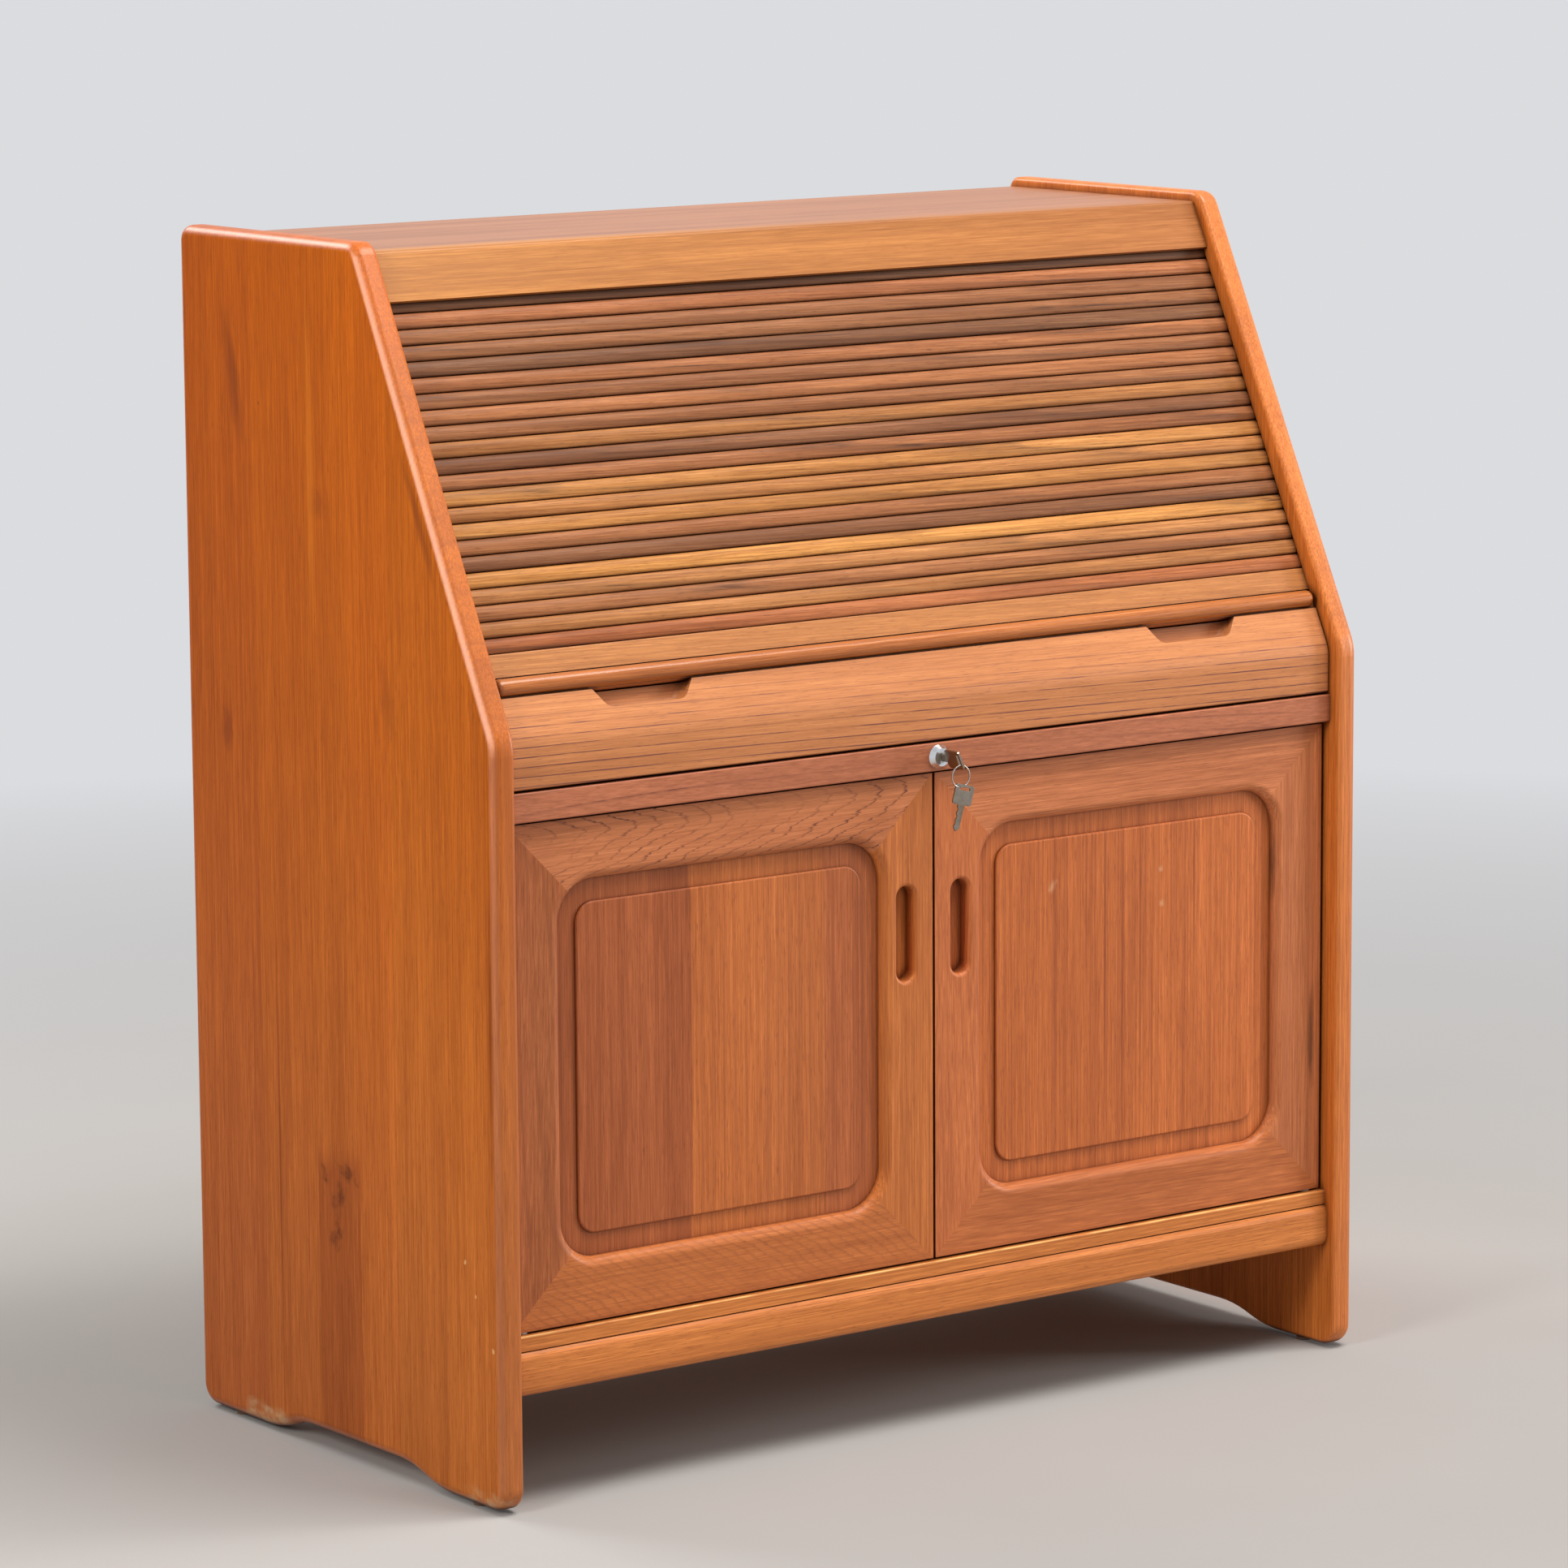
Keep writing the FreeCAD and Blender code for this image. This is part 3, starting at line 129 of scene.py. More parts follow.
class Nodes:
    """Short way to write the nodes of one material."""

    def __init__(self, name):
        self.material = bpy.data.materials.new(name)
        self.material.use_nodes = True
        self.tree = self.material.node_tree
        self.shader = self.tree.nodes["Principled BSDF"]
        self.place = self.add("ShaderNodeTexCoord").outputs["Object"]

    def feed(self, socket, value):
        if isinstance(value, bpy.types.NodeSocket):
            self.tree.links.new(value, socket)
        else:
            socket.default_value = value

    def add(self, kind, inputs=None, **settings):
        node = self.tree.nodes.new(kind)
        for name, value in settings.items():
            setattr(node, name, value)
        for name, value in (inputs or {}).items():
            self.feed(node.inputs[name], value)
        return node

    def sized(self, size, shift=0.0, tilt=UNTURNED, origin=UNMOVED):
        """Place measured from an origin, along turned axes, in units of a real size each way."""
        start = [place + shift for place in origin]
        turns = [math.radians(angle) for angle in tilt]
        inputs = {"Vector": self.place, "Location": start, "Rotation": turns, "Scale": size}
        return self.add("ShaderNodeMapping", inputs, vector_type="TEXTURE").outputs["Vector"]

    def noise(self, size, detail=2.0, shift=0.0, tilt=UNTURNED):
        inputs = {"Vector": self.sized(size, shift, tilt), "Scale": 1.0, "Detail": detail}
        return self.add("ShaderNodeTexNoise", inputs).outputs["Fac"]

    def ramp(self, value, stops, interpolation="LINEAR"):
        node = self.add("ShaderNodeValToRGB", {"Fac": value})
        node.color_ramp.interpolation = interpolation
        elements = node.color_ramp.elements
        while len(elements) < len(stops):
            elements.new(1.0)
        for element, (position, tint) in zip(elements, stops):
            element.position = position
            element.color = tint
        return node.outputs["Color"]

    def mix(self, factor, first, second, blend="MIX"):
        node = self.add("ShaderNodeMix", data_type="RGBA", blend_type=blend)
        self.feed(node.inputs[0], factor)
        self.feed(node.inputs[6], first)
        self.feed(node.inputs[7], second)
        return node.outputs[2]

    def math(self, operation, first, second):
        node = self.add("ShaderNodeMath", operation=operation)
        self.feed(node.inputs[0], first)
        self.feed(node.inputs[1], second)
        return node.outputs[0]

    def spread(self, value, low, high, start=0.0, end=1.0):
        """A value moved from one range to another."""
        inputs = {"Value": value, "From Min": start, "From Max": end, "To Min": low, "To Max": high}
        return self.add("ShaderNodeMapRange", inputs).outputs["Result"]

    def along(self, axis):
        split = self.add("ShaderNodeSeparateXYZ", {"Vector": self.place})
        return split.outputs[AXES.index(axis)]

    def near(self, centre, size, tilt=UNTURNED, ragged=0.0):
        """1 at a place, falling to 0 at a real size from it each way."""
        where = self.sized(size, 0.0, tilt, centre)
        if ragged:
            cloud = self.add("ShaderNodeTexNoise", {"Vector": where, "Scale": 2.0, "Detail": 3.0})
            inputs = {0: cloud.outputs["Color"], 1: (ragged,) * 3, 2: (-ragged / 2,) * 3}
            push = self.add("ShaderNodeVectorMath", inputs, operation="MULTIPLY_ADD").outputs["Vector"]
            where = self.add("ShaderNodeVectorMath", {0: where, 1: push}, operation="ADD").outputs["Vector"]
        length = self.add("ShaderNodeVectorMath", {0: where}, operation="LENGTH").outputs["Value"]
        return self.spread(length, 1.0, 0.0)

    def bump(self, height, strength, distance):
        inputs = {"Height": height, "Strength": strength, "Distance": distance}
        self.feed(self.shader.inputs["Normal"], self.add("ShaderNodeBump", inputs).outputs["Normal"])

    def set(self, values):
        for name, value in values.items():
            self.feed(self.shader.inputs[name], value)


# Wood: gloss, painted shade in the creases, growth lines, pores and marks
WARM_GLINT = (1.0, 0.92, 0.84, 1)
GLOSS_CHANGES = (-0.08, 0.12)
EDGE_SHEEN = 0.50
EDGE_DULLNESS = 0.07
EDGE_STOPS = ((0.90, grey(1)), (0.98, grey(0)))
CREASE_SHADE_REACH = 11 * MM
CREASE_SHADE_STOPS = ((0.40, (0.20, 0.14, 0.10, 1)), (0.82, (1, 1, 1, 1)))
# How lines fade in and out along the grain, break up between the fibres, and thin out up a board
FADE_SPREAD = (0.0, 1.7, 0.28, 0.72)
FIBRE_RANGE = (0.36, 0.64)
LINE_TOP_SHARE = 0.15
# Size of each wander of an arch, and its push as a share of a ring
ARCH_WANDER = (((0.10, 0.02, 0.02), 0.80), ((0.03, 0.002, 0.002), 0.30))
PORE_DEPTH = 0.5 * MM
PORE_RELIEF = 0.08
PATCH_CLOUD = (0.02, 0.02, 0.06)
PORE_STOPS = ((0.61, grey(0)), (0.72, grey(1)))
SOFT_STOPS = ((0.0, grey(0)), (0.7, grey(1)))
CRISP_STOPS = ((0.25, grey(0)), (0.45, grey(1)))
BROKEN_STOPS = ((0.38, grey(0.1)), (0.58, grey(1)))
MARKS = {
    # colour, strength, how ragged, how it falls off, size of its broken pieces
    "knot": (colour(104, 50, 22), 0.85, 1.6, SOFT_STOPS, 0.012),
    "stain": (colour(112, 48, 16), 0.55, 0.7, SOFT_STOPS, 0),
    "shadow": (colour(112, 48, 16), 0.30, 1.0, SOFT_STOPS, 0),
    "streak": (colour(128, 60, 32), 0.50, 0.6, SOFT_STOPS, 0),
    "black": (colour(62, 36, 28), 0.65, 0.9, SOFT_STOPS, 0),
    "gleam": (colour(226, 130, 34), 0.32, 0.9, SOFT_STOPS, 0),
    "ding": (colour(222, 176, 120), 0.65, 0.8, CRISP_STOPS, 0),
    "scuff": (colour(214, 164, 122), 0.48, 1.0, SOFT_STOPS, 0),
    "worn": (colour(186, 150, 110), 0.90, 1.2, SOFT_STOPS, 0.02),
    # Pale edge line: worn finish with a painted highlight in it
    "bright": (colour(236, 196, 120), 0.85, 0.0, SOFT_STOPS, 0.05),
}


def teak(
    name,
    grain,
    body,
    line,
    seed,
    pith=(0.0, 1.2, 0.0),
    tilt=UNTURNED,
    ring=0.010,
    lines=0.25,
    width=0.35,
    wobble=5.0,
    unbroken=0.0,
    broad=0.13,
    streaks=0.17,
    fibres=0.20,
    pores=0.35,
    gloss=0.38,
    sheen=0.30,
    rubbed_edges=False,
    line_top=None,
    arches=None,
    staves=None,
    gradual=None,
    patches=(),
    marks=(),
    own_tone=None,
):
    """Oiled teak or beech: faint broad bands, streaks and growth lines along the grain, short dark pores.

    The pith is a point on the middle of the log, whose rings the board cuts, and the tilt turns the log.
    Ring is the width of a ring and width the share of it that is dark. Lines, broad, streaks, fibres and
    pores say how strong each kind of figure is.
    """
    nodes = Nodes(name)

    def grain_size(size):
        return [size[0] if axis == grain else size[1] for axis in AXES]

    def band(size, detail, shift, change):
        value = nodes.noise(grain_size(size), detail, seed + shift, tilt)
        return value, nodes.ramp(value, ((0.30, shade(-change)), (0.50, grey(1)), (0.70, shade(change))))

    tone = body
    if own_tone:
        tone = nodes.add("ShaderNodeAttribute", attribute_name=own_tone).outputs["Color"]
    tone = nodes.mix(1.0, tone, band(BROAD_FIGURE, 3.0, 0.0, broad)[1], "MULTIPLY")
    tone = nodes.mix(1.0, tone, band(STREAKS, 4.0, 1.7, streaks)[1], "MULTIPLY")
    if staves:
        tone = stave_tones(nodes, tone, *staves)
    if gradual:
        tone = stave_tones(nodes, tone, *gradual, "LINEAR")
    for patch in patches:
        tone = dark_patch(nodes, tone, *patch)
    if arches:
        log = arch_place(nodes, seed, ring, *arches)
    else:
        log = nodes.sized(grain_size((LOG_STRETCH, 1.0)), 0.0, tilt, pith)
    fibre, fibre_shade = band(FIBRES, 3.0, 2.3, fibres)
    share = nodes.math("MULTIPLY", late_wood(nodes, log, grain, ring, width, wobble, seed), lines)
    fade = nodes.spread(nodes.noise(grain_size(FADING), 2.0, seed + 4.1, tilt), *FADE_SPREAD)
    for part in (fade, nodes.spread(fibre, unbroken, 1.5 - 0.5 * unbroken, *FIBRE_RANGE)):
        share = nodes.math("MULTIPLY", share, part)
    if line_top:
        thinned = nodes.spread(nodes.along("z"), 1.0, LINE_TOP_SHARE, *line_top)
        share = nodes.math("MULTIPLY", share, thinned)
    tone = nodes.mix(share, tone, line)
    tone = nodes.mix(1.0, tone, fibre_shade, "MULTIPLY")
    pore = nodes.ramp(nodes.noise(grain_size(PORES), 1.0, seed + 3.1, tilt), PORE_STOPS)
    tone = nodes.mix(nodes.math("MULTIPLY", pore, pores), tone, line)
    tone = marked(nodes, tone, marks)
    # Painted shade: the wood darkens where nearby surfaces close in, in creases, recesses and gaps between
    # parts
    crease_shade = nodes.add("ShaderNodeAmbientOcclusion", {"Distance": CREASE_SHADE_REACH}, samples=4).outputs["AO"]
    tone = nodes.mix(1.0, tone, nodes.ramp(crease_shade, CREASE_SHADE_STOPS), "MULTIPLY")
    rough = nodes.spread(fibre, *(gloss + change for change in GLOSS_CHANGES))
    if rubbed_edges:
        edge = edge_share(nodes)
        rough = nodes.math("ADD", rough, nodes.math("MULTIPLY", edge, EDGE_DULLNESS))
        sheen = nodes.spread(edge, sheen, EDGE_SHEEN)
    nodes.set(
        {
            "Base Color": tone,
            "Roughness": rough,
            "Specular IOR Level": sheen,
            "Specular Tint": WARM_GLINT,
        }
    )
    sunk = nodes.ramp(pore, ((0.0, grey(1)), (1.0, grey(0))))
    nodes.bump(nodes.mix(0.6, fibre, sunk, "MULTIPLY"), PORE_RELIEF, PORE_DEPTH)
    return nodes.material


def late_wood(nodes, log, grain, ring, width, wobble, seed):
    """Dark part of each growth ring, which comes on slowly and ends sharply."""
    inputs = {
        "Vector": log,
        "Scale": RING_TURN / ring,
        "Distortion": wobble,
        "Detail": 2.0,
        "Detail Scale": 0.16,
        "Detail Roughness": 0.55,
        "Phase Offset": seed,
    }
    turns = grain.upper()
    rings = nodes.add(
        "ShaderNodeTexWave", inputs, wave_type="RINGS", rings_direction=turns, wave_profile="SAW"
    )
    stops = ((0.0, grey(0)), (1 - width, grey(0)), (1 - width / 5, grey(1)), (1.0, grey(0.3)))
    return nodes.ramp(rings.outputs["Fac"], stops)


def marked(nodes, tone, marks):
    """Knots, stains, dings, worn places and a painted edge highlight on a board."""
    for kind, centre, size, turn in marks:
        tint, strength, ragged, stops, broken = MARKS[kind]
        spot = nodes.math("MULTIPLY", nodes.ramp(nodes.near(centre, size, turn, ragged), stops), strength)
        if broken:
            pieces = nodes.ramp(nodes.noise((broken,) * 3, 3.0), BROKEN_STOPS)
            spot = nodes.math("MULTIPLY", spot, pieces)
        tone = nodes.mix(spot, tone, tint)
    return tone


def edge_share(nodes):
    """1 on a board's edges, which hands have rubbed, and 0 on its two broad faces."""
    normal = nodes.add("ShaderNodeNewGeometry").outputs["Normal"]
    across = nodes.add("ShaderNodeSeparateXYZ", {"Vector": normal}).outputs[0]
    turned = nodes.math("ABSOLUTE", across, 0.0)
    return nodes.ramp(turned, EDGE_STOPS)


def arch_place(nodes, seed, ring, apex, lean, blunt):
    """Place whose rings are pointed arches along a board, as where it is cut flat from the log."""
    away = nodes.math("MULTIPLY", nodes.math("SUBTRACT", nodes.along("z"), apex), lean)
    corner = nodes.add("ShaderNodeCombineXYZ", {"X": away, "Y": blunt}).outputs["Vector"]
    back = nodes.add("ShaderNodeVectorMath", {0: corner}, operation="LENGTH").outputs["Value"]
    along = nodes.math("ADD", nodes.math("ADD", nodes.along("x"), back), 1.0)
    for size, push in ARCH_WANDER:
        shift = nodes.spread(nodes.noise(size, 2.0, seed), -push * ring, push * ring)
        along = nodes.math("ADD", along, shift)
    return nodes.add("ShaderNodeCombineXYZ", {"Y": along}).outputs["Vector"]


def stave_tones(nodes, tone, axis, low, high, tints, change="CONSTANT"):
    """Tints by place along an axis, each at its share of the way: glued staves, or a gradual change."""
    across = nodes.spread(nodes.along(axis), 0.0, 1.0, low, high)
    return nodes.mix(1.0, tone, nodes.ramp(across, tints, change), "MULTIPLY")


def dark_patch(nodes, tone, axis, low, high, top, fade, tint):
    """A darker length of one stave: cut off at its glue lines, and fading out over its top end."""
    across = nodes.spread(nodes.along(axis), 0.0, 1.0, low, high)
    inside = nodes.ramp(across, ((0.0, grey(0)), (0.001, grey(1)), (0.999, grey(0))), "CONSTANT")
    rise = nodes.math("ADD", nodes.along("z"), nodes.spread(nodes.noise(PATCH_CLOUD), -fade, fade))
    share = nodes.math("MULTIPLY", inside, nodes.spread(rise, 1.0, 0.0, top - fade, top))
    return nodes.mix(share, tone, nodes.mix(1.0, tone, tint, "MULTIPLY"))


# Marks on single boards: kind, centre, reach each way and turn in degrees
SIDE_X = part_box("left_side")[0].x
SIDE_MARKS = (
    ("stain", (SIDE_X, 0.182, 1.038), (0.03, 0.013, 0.085), (-12, 0, 0)),
    ("shadow", (SIDE_X, 0.034, 0.929), (0.03, 0.016, 0.020), UNTURNED),
    ("shadow", (SIDE_X, -0.080, 0.752), (0.03, 0.012, 0.050), (-8, 0, 0)),
    ("stain", (SIDE_X, -0.140, 0.928), (0.03, 0.008, 0.075), (-24, 0, 0)),
    ("stain", (SIDE_X, 0.136, 1.017), (0.003, 0.0025, 0.0025), UNTURNED),
    ("gleam", (SIDE_X, 0.047, 0.960), (0.03, 0.008, 0.200), UNTURNED),
    ("stain", (SIDE_X, 0.122, 0.300), (0.03, 0.0024, 0.290), UNTURNED),
    ("stain", (SIDE_X, -0.247, 0.460), (0.04, 0.004, 0.170), UNTURNED),
    ("knot", (SIDE_X, 0.002, 0.285), (0.03, 0.022, 0.012), (25, 0, 0)),
    ("knot", (SIDE_X, 0.018, 0.256), (0.03, 0.013, 0.024), (28, 0, 0)),
    ("knot", (SIDE_X, 0.023, 0.219), (0.03, 0.013, 0.018), (30, 0, 0)),
    ("knot", (SIDE_X, 0.042, 0.277), (0.03, 0.006, 0.016), (-20, 0, 0)),
    ("stain", (SIDE_X, 0.203, 0.693), (0.03, 0.011, 0.028), UNTURNED),
    ("ding", (SIDE_X, -0.200, 0.236), (0.004, 0.0026, 0.004), (20, 0, 0)),
    ("ding", (SIDE_X, -0.217, 0.206), (0.004, 0.0022, 0.003), UNTURNED),
    ("ding", (SIDE_X, -0.245, 0.159), (0.006, 0.0028, 0.004), (-20, 0, 0)),
    ("worn", (SIDE_X, 0.155, 0.012), (0.03, 0.055, 0.017), UNTURNED),
    ("worn", (SIDE_X, -0.222, 0.010), (0.03, 0.046, 0.015), UNTURNED),
)
# Tints of the left side from front to back and from the floor up, each from its share of the way. The
# change from the floor up is a painted reflection: paler and less red low down, deeper in colour at the top
SIDE_STAVES = (
    (0.00, (0.97, 0.97, 0.92, 1)),
    (0.07, (1.05, 1.08, 1.05, 1)),
    (0.16, (0.99, 1.01, 1.03, 1)),
    (0.32, (1.04, 1.02, 1.05, 1)),
    (0.45, (0.93, 0.91, 0.95, 1)),
    (0.60, (0.94, 0.91, 1.00, 1)),
    (0.757, (0.85, 0.79, 1.00, 1)),
)
SIDE_REFLECTION_BY_HEIGHT = (
    (0.08, (0.88, 1.07, 2.20, 1)),
    (0.35, (0.94, 1.06, 1.55, 1)),
    (0.60, (0.93, 0.95, 0.75, 1)),
    (0.95, (0.99, 0.95, 0.30, 1)),
)
# Axis, start, end, top, length over which the top fades, and tint of a darker stave
DARK_STAVE = ("y", -0.021, 0.053, 0.310, 0.030, (0.80, 0.74, 0.80, 1))
# Tints of the left panel and of the fascia from left to right
PANEL_STAVES = (
    (0.000, (0.78, 0.72, 0.84, 1)),
    (0.410, (1.06, 1.05, 1.00, 1)),
    (0.620, (0.97, 0.96, 0.95, 1)),
    (0.812, (0.86, 0.83, 1.00, 1)),
)
# The fascia's darker right end is mostly painted shade, set against the light of the right lamp
FASCIA_END_SHADE = ((0.2, grey(1)), (1.0, (0.74, 0.68, 0.92, 1)))
# Streaks up the right panel: place across, height, width and length
PANEL_STREAKS = (
    (0.158, 0.43, 0.0028, 0.26),
    (0.198, 0.50, 0.0016, 0.14),
    (0.222, 0.46, 0.0022, 0.20),
    (0.245, 0.43, 0.0030, 0.26),
    (0.268, 0.45, 0.0020, 0.22),
    (0.283, 0.36, 0.0016, 0.14),
    (0.338, 0.52, 0.0018, 0.12),
)
# Front of the right panel, and how far into the wood its streaks go
PANEL_Y = -0.2255
STREAK_DEPTH = 30 * MM
PANEL_MARKS = (
    ("scuff", (0.2944, PANEL_Y, 0.523), (0.0045, 0.006, 0.0042), UNTURNED),
    ("scuff", (0.2956, PANEL_Y, 0.488), (0.0045, 0.006, 0.0048), UNTURNED),
    ("scuff", (0.1550, PANEL_Y, 0.521), (0.0050, 0.006, 0.0100), (0, 35, 0)),
) + tuple(
    ("streak", (x, PANEL_Y, z), (width, STREAK_DEPTH, length), UNTURNED)
    for x, z, width, length in PANEL_STREAKS
)
STILE_MARKS = (
    ("black", (0.4885, -0.2350, 0.328), (0.0050, 0.04, 0.065), UNTURNED),
    ("black", (0.4400, -0.2350, 0.515), (0.0040, 0.03, 0.050), UNTURNED),
)
# Pale line along the front top edge of the ledge: worn finish with a painted highlight of that edge
LEDGE_MARKS = (("bright", (0.0, -0.2406, 0.1665), (3.0, 0.0022, 0.0018), UNTURNED),)
# Where the arches of the left door's rails come to a point: down from the top, and below the bottom
APEX_SHARE = 0.2
FAN_DROP = 20 * MM


def wood_finishes():
    """Finishes of the wooden pieces, which come from different boards; most are named after their node."""
    side_low, side_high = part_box("left_side")
    panel_low, panel_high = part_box("left_door_panel")
    fascia_low, fascia_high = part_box("top_fascia")
    rail_low, rail_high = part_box("left_door_top_rail")
    rail_apex = rail_high.z - APEX_SHARE * (rail_high.z - rail_low.z)
    fan_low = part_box("left_door_bottom_rail")[0].z - FAN_DROP
    pale, pale_line = colour(204, 146, 92), colour(160, 100, 58)
    beech, beech_line = colour(214, 176, 128), colour(184, 140, 94)
    return {
        "left_side": teak(
            "teak_left_side", "z", colour(186, 94, 26), colour(112, 46, 12), 0.3, pith=(-0.45, 1.6, 0.0),
            ring=0.011, lines=0.16, wobble=9.0, broad=0.10, streaks=0.11, gloss=0.30, sheen=0.06,
            rubbed_edges=True, patches=(DARK_STAVE,), marks=SIDE_MARKS,
            staves=("y", side_low.y, side_high.y, SIDE_STAVES),
            gradual=("z", side_low.z, side_high.z, SIDE_REFLECTION_BY_HEIGHT),
        ),
        "right_side": teak(
            "teak_right_side", "z", colour(200, 112, 48), colour(146, 70, 26), 5.1, pith=(0.45, 1.5, 0.0),
            ring=0.020, width=0.22, gloss=0.30, sheen=0.20, rubbed_edges=True,
        ),
        "top_board": teak(
            "teak_top", "x", colour(154, 98, 64), colour(116, 68, 42), 1.2, pith=(0, 0.3, 2.2),
            gloss=0.36, sheen=0.45,
        ),
        "top_fascia": teak(
            "teak_fascia", "x", colour(176, 113, 52), colour(140, 78, 36), 2.9, pith=(0, -0.4, 1.9),
            ring=0.012, lines=0.22, streaks=0.12, fibres=0.15, gloss=0.36,
            gradual=("x", fascia_low.x, fascia_high.x, FASCIA_END_SHADE),
        ),
        "slide_front": teak(
            "teak_slide_front", "x", colour(192, 123, 75), colour(108, 60, 54), 3.4,
            pith=(0.1, -0.26, 0.30), tilt=(0, 1.2, 0), ring=0.0095, lines=1.6, width=0.15, streaks=0.07,
            fibres=0.12, gloss=0.40, line_top=(0.705, 0.765),
        ),
        "tambour_lead_rail": teak(
            "teak_lead_rail", "x", colour(178, 115, 64), colour(130, 76, 46), 4.4, pith=(0, -0.30, 0.60),
            tilt=(0, 2.0, 0), ring=0.007, lines=0.40, streaks=0.11, fibres=0.15, pores=0.5, gloss=0.40,
        ),
        "tambour_bead": teak(
            "teak_bead", "x", colour(172, 98, 44), colour(116, 60, 28), 6.2, gloss=0.26, sheen=0.50,
        ),
        "lock_rail": teak(
            "teak_lock_rail", "x", colour(172, 102, 70), colour(112, 58, 44), 7.7,
            pith=(0.4, -0.22, 0.60), tilt=(0, 2.0, 4.0), ring=0.013, lines=0.45, width=0.20, wobble=4.0,
            streaks=0.11, fibres=0.15, gloss=0.42,
        ),
        "apron": teak(
            "teak_apron", "x", colour(198, 118, 58), colour(142, 74, 36), 8.3, pith=(0, -0.6, 0.2),
            pores=0.45,
        ),
        "cabinet_floor": teak(
            "teak_ledge", "x", colour(194, 116, 56), colour(146, 80, 40), 8.9,
            gloss=0.40, marks=LEDGE_MARKS,
        ),
        "left_door_hinge_stile": teak(
            "teak_left_stile", "z", colour(163, 91, 50), colour(108, 56, 34), 9.4,
            pith=(-0.44, -0.15, 0.2), tilt=(2, 1, 0), ring=0.009, lines=0.30, width=0.25, gloss=0.42,
        ),
        "left_door_meeting_stile": teak(
            "teak_left_meeting_stile", "z", colour(186, 106, 52), colour(136, 70, 34), 9.9,
            pith=(0.3, -0.1, 0), lines=0.20, gloss=0.42,
        ),
        "left_door_top_rail": teak(
            "teak_left_top_rail", "x", colour(188, 113, 70), colour(104, 54, 40), 10.6,
            arches=(rail_apex, 3.0, 0.03), ring=0.030, lines=0.88, width=0.18, wobble=2.0, unbroken=0.4,
            streaks=0.11, fibres=0.15, gloss=0.42,
        ),
        "left_door_bottom_rail": teak(
            "teak_left_bottom_rail", "x", colour(182, 103, 52), colour(112, 58, 34), 11.3,
            arches=(fan_low, 1.6, 0.03), ring=0.015, lines=0.34, width=0.40, wobble=4.0, unbroken=0.3,
            streaks=0.11, fibres=0.17, gloss=0.42,
        ),
        "left_door_panel": teak(
            "teak_left_panel", "z", colour(180, 100, 50), colour(116, 56, 30), 12.1, pith=(0.9, -0.1, 0),
            ring=0.013, streaks=0.12, pores=0.45, gloss=0.42,
            staves=("x", panel_low.x, panel_high.x, PANEL_STAVES),
        ),
        "right_door_hinge_stile": teak(
            "teak_right_stile", "z", colour(183, 107, 64), colour(120, 58, 34), 13.2, pith=(0.9, -0.2, 0),
            ring=0.03, streaks=0.14, gloss=0.42, marks=STILE_MARKS,
        ),
        "right_door_meeting_stile": teak(
            "teak_right_meeting_stile", "z", colour(184, 102, 56), colour(126, 62, 38), 13.9,
            pith=(0.08, -0.20, 0.3), tilt=(3, 0, 0), ring=0.008, lines=0.30, width=0.25, fibres=0.14,
            pores=0.25, gloss=0.42,
        ),
        "right_door_top_rail": teak(
            "teak_right_top_rail", "x", colour(190, 113, 70), colour(130, 66, 42), 14.5,
            pith=(0.3, 0.1, 0.9), lines=0.22, gloss=0.42,
        ),
        "right_door_bottom_rail": teak(
            "teak_right_bottom_rail", "x", colour(184, 104, 56), colour(130, 66, 40), 15.1,
            pith=(0.3, -0.21, 0.16), tilt=(0, 1, 2), ring=0.008, lines=0.30, fibres=0.14, pores=0.25,
            gloss=0.42,
        ),
        "right_door_panel": teak(
            "teak_right_panel", "z", colour(187, 101, 50), colour(120, 58, 34), 16.0, pith=(1.6, -0.1, 0),
            ring=0.017, lines=0.30, width=0.30, pores=0.45, gloss=0.42, marks=PANEL_MARKS,
        ),
        "slats": teak(
            "teak_slats", "x", grey(1), colour(70, 42, 30), 17.3, pith=(0, 0.6, 0.2), tilt=(0, 1.5, 0),
            ring=0.012, lines=0.45, width=0.30, wobble=8.0, broad=0.22, streaks=0.24, gloss=0.44,
            sheen=0.14, own_tone="slat_colour",
        ),
        "inner": teak("teak_inner", "x", pale, pale_line, 18.4, pith=(0, 0.2, 2.0), gloss=0.44),
        "inner_upright": teak(
            "teak_inner_upright", "z", pale, pale_line, 19.0, pith=(0, 1.5, 0), gloss=0.44,
        ),
        "writing_board": teak(
            "teak_board", "x", colour(204, 128, 72), colour(158, 90, 50), 20.2, pith=(0, 0.1, 2.4),
            ring=0.02,
        ),
        "back_panel": teak(
            "teak_back", "z", pale, pale_line, 21.5, pith=(1.5, 0.3, 0), ring=0.02, gloss=0.50,
        ),
        "beech": teak("beech", "y", beech, beech_line, 22.8, pith=(0.3, 0, 1.2), pores=0.2, gloss=0.46),
        "beech_cross": teak(
            "beech_cross", "x", beech, beech_line, 23.6, pith=(0, 0.4, 1.2), pores=0.2, gloss=0.46,
        ),
    }


# Metal, cloth and plastic: sizes of their unevenness, and its depth
METAL_CLOUD = (6 * MM,) * 3
SCRATCH = (12 * MM, 0.4 * MM, 0.4 * MM)
SCRATCH_TILT = (0.3, 0.5, 0.4)
SCRATCH_DEPTH = 0.05 * MM
CANVAS_THREAD = 1.2 * MM
CANVAS_SHADE = colour(150, 132, 104)
CANVAS_CLOUD = (30 * MM,) * 3
WEAVE_DEPTH = 0.3 * MM
NYLON_GRAIN = (0.6 * MM,) * 3
NYLON_CLOUD = (8 * MM,) * 3
NYLON_DEPTH = 0.1 * MM


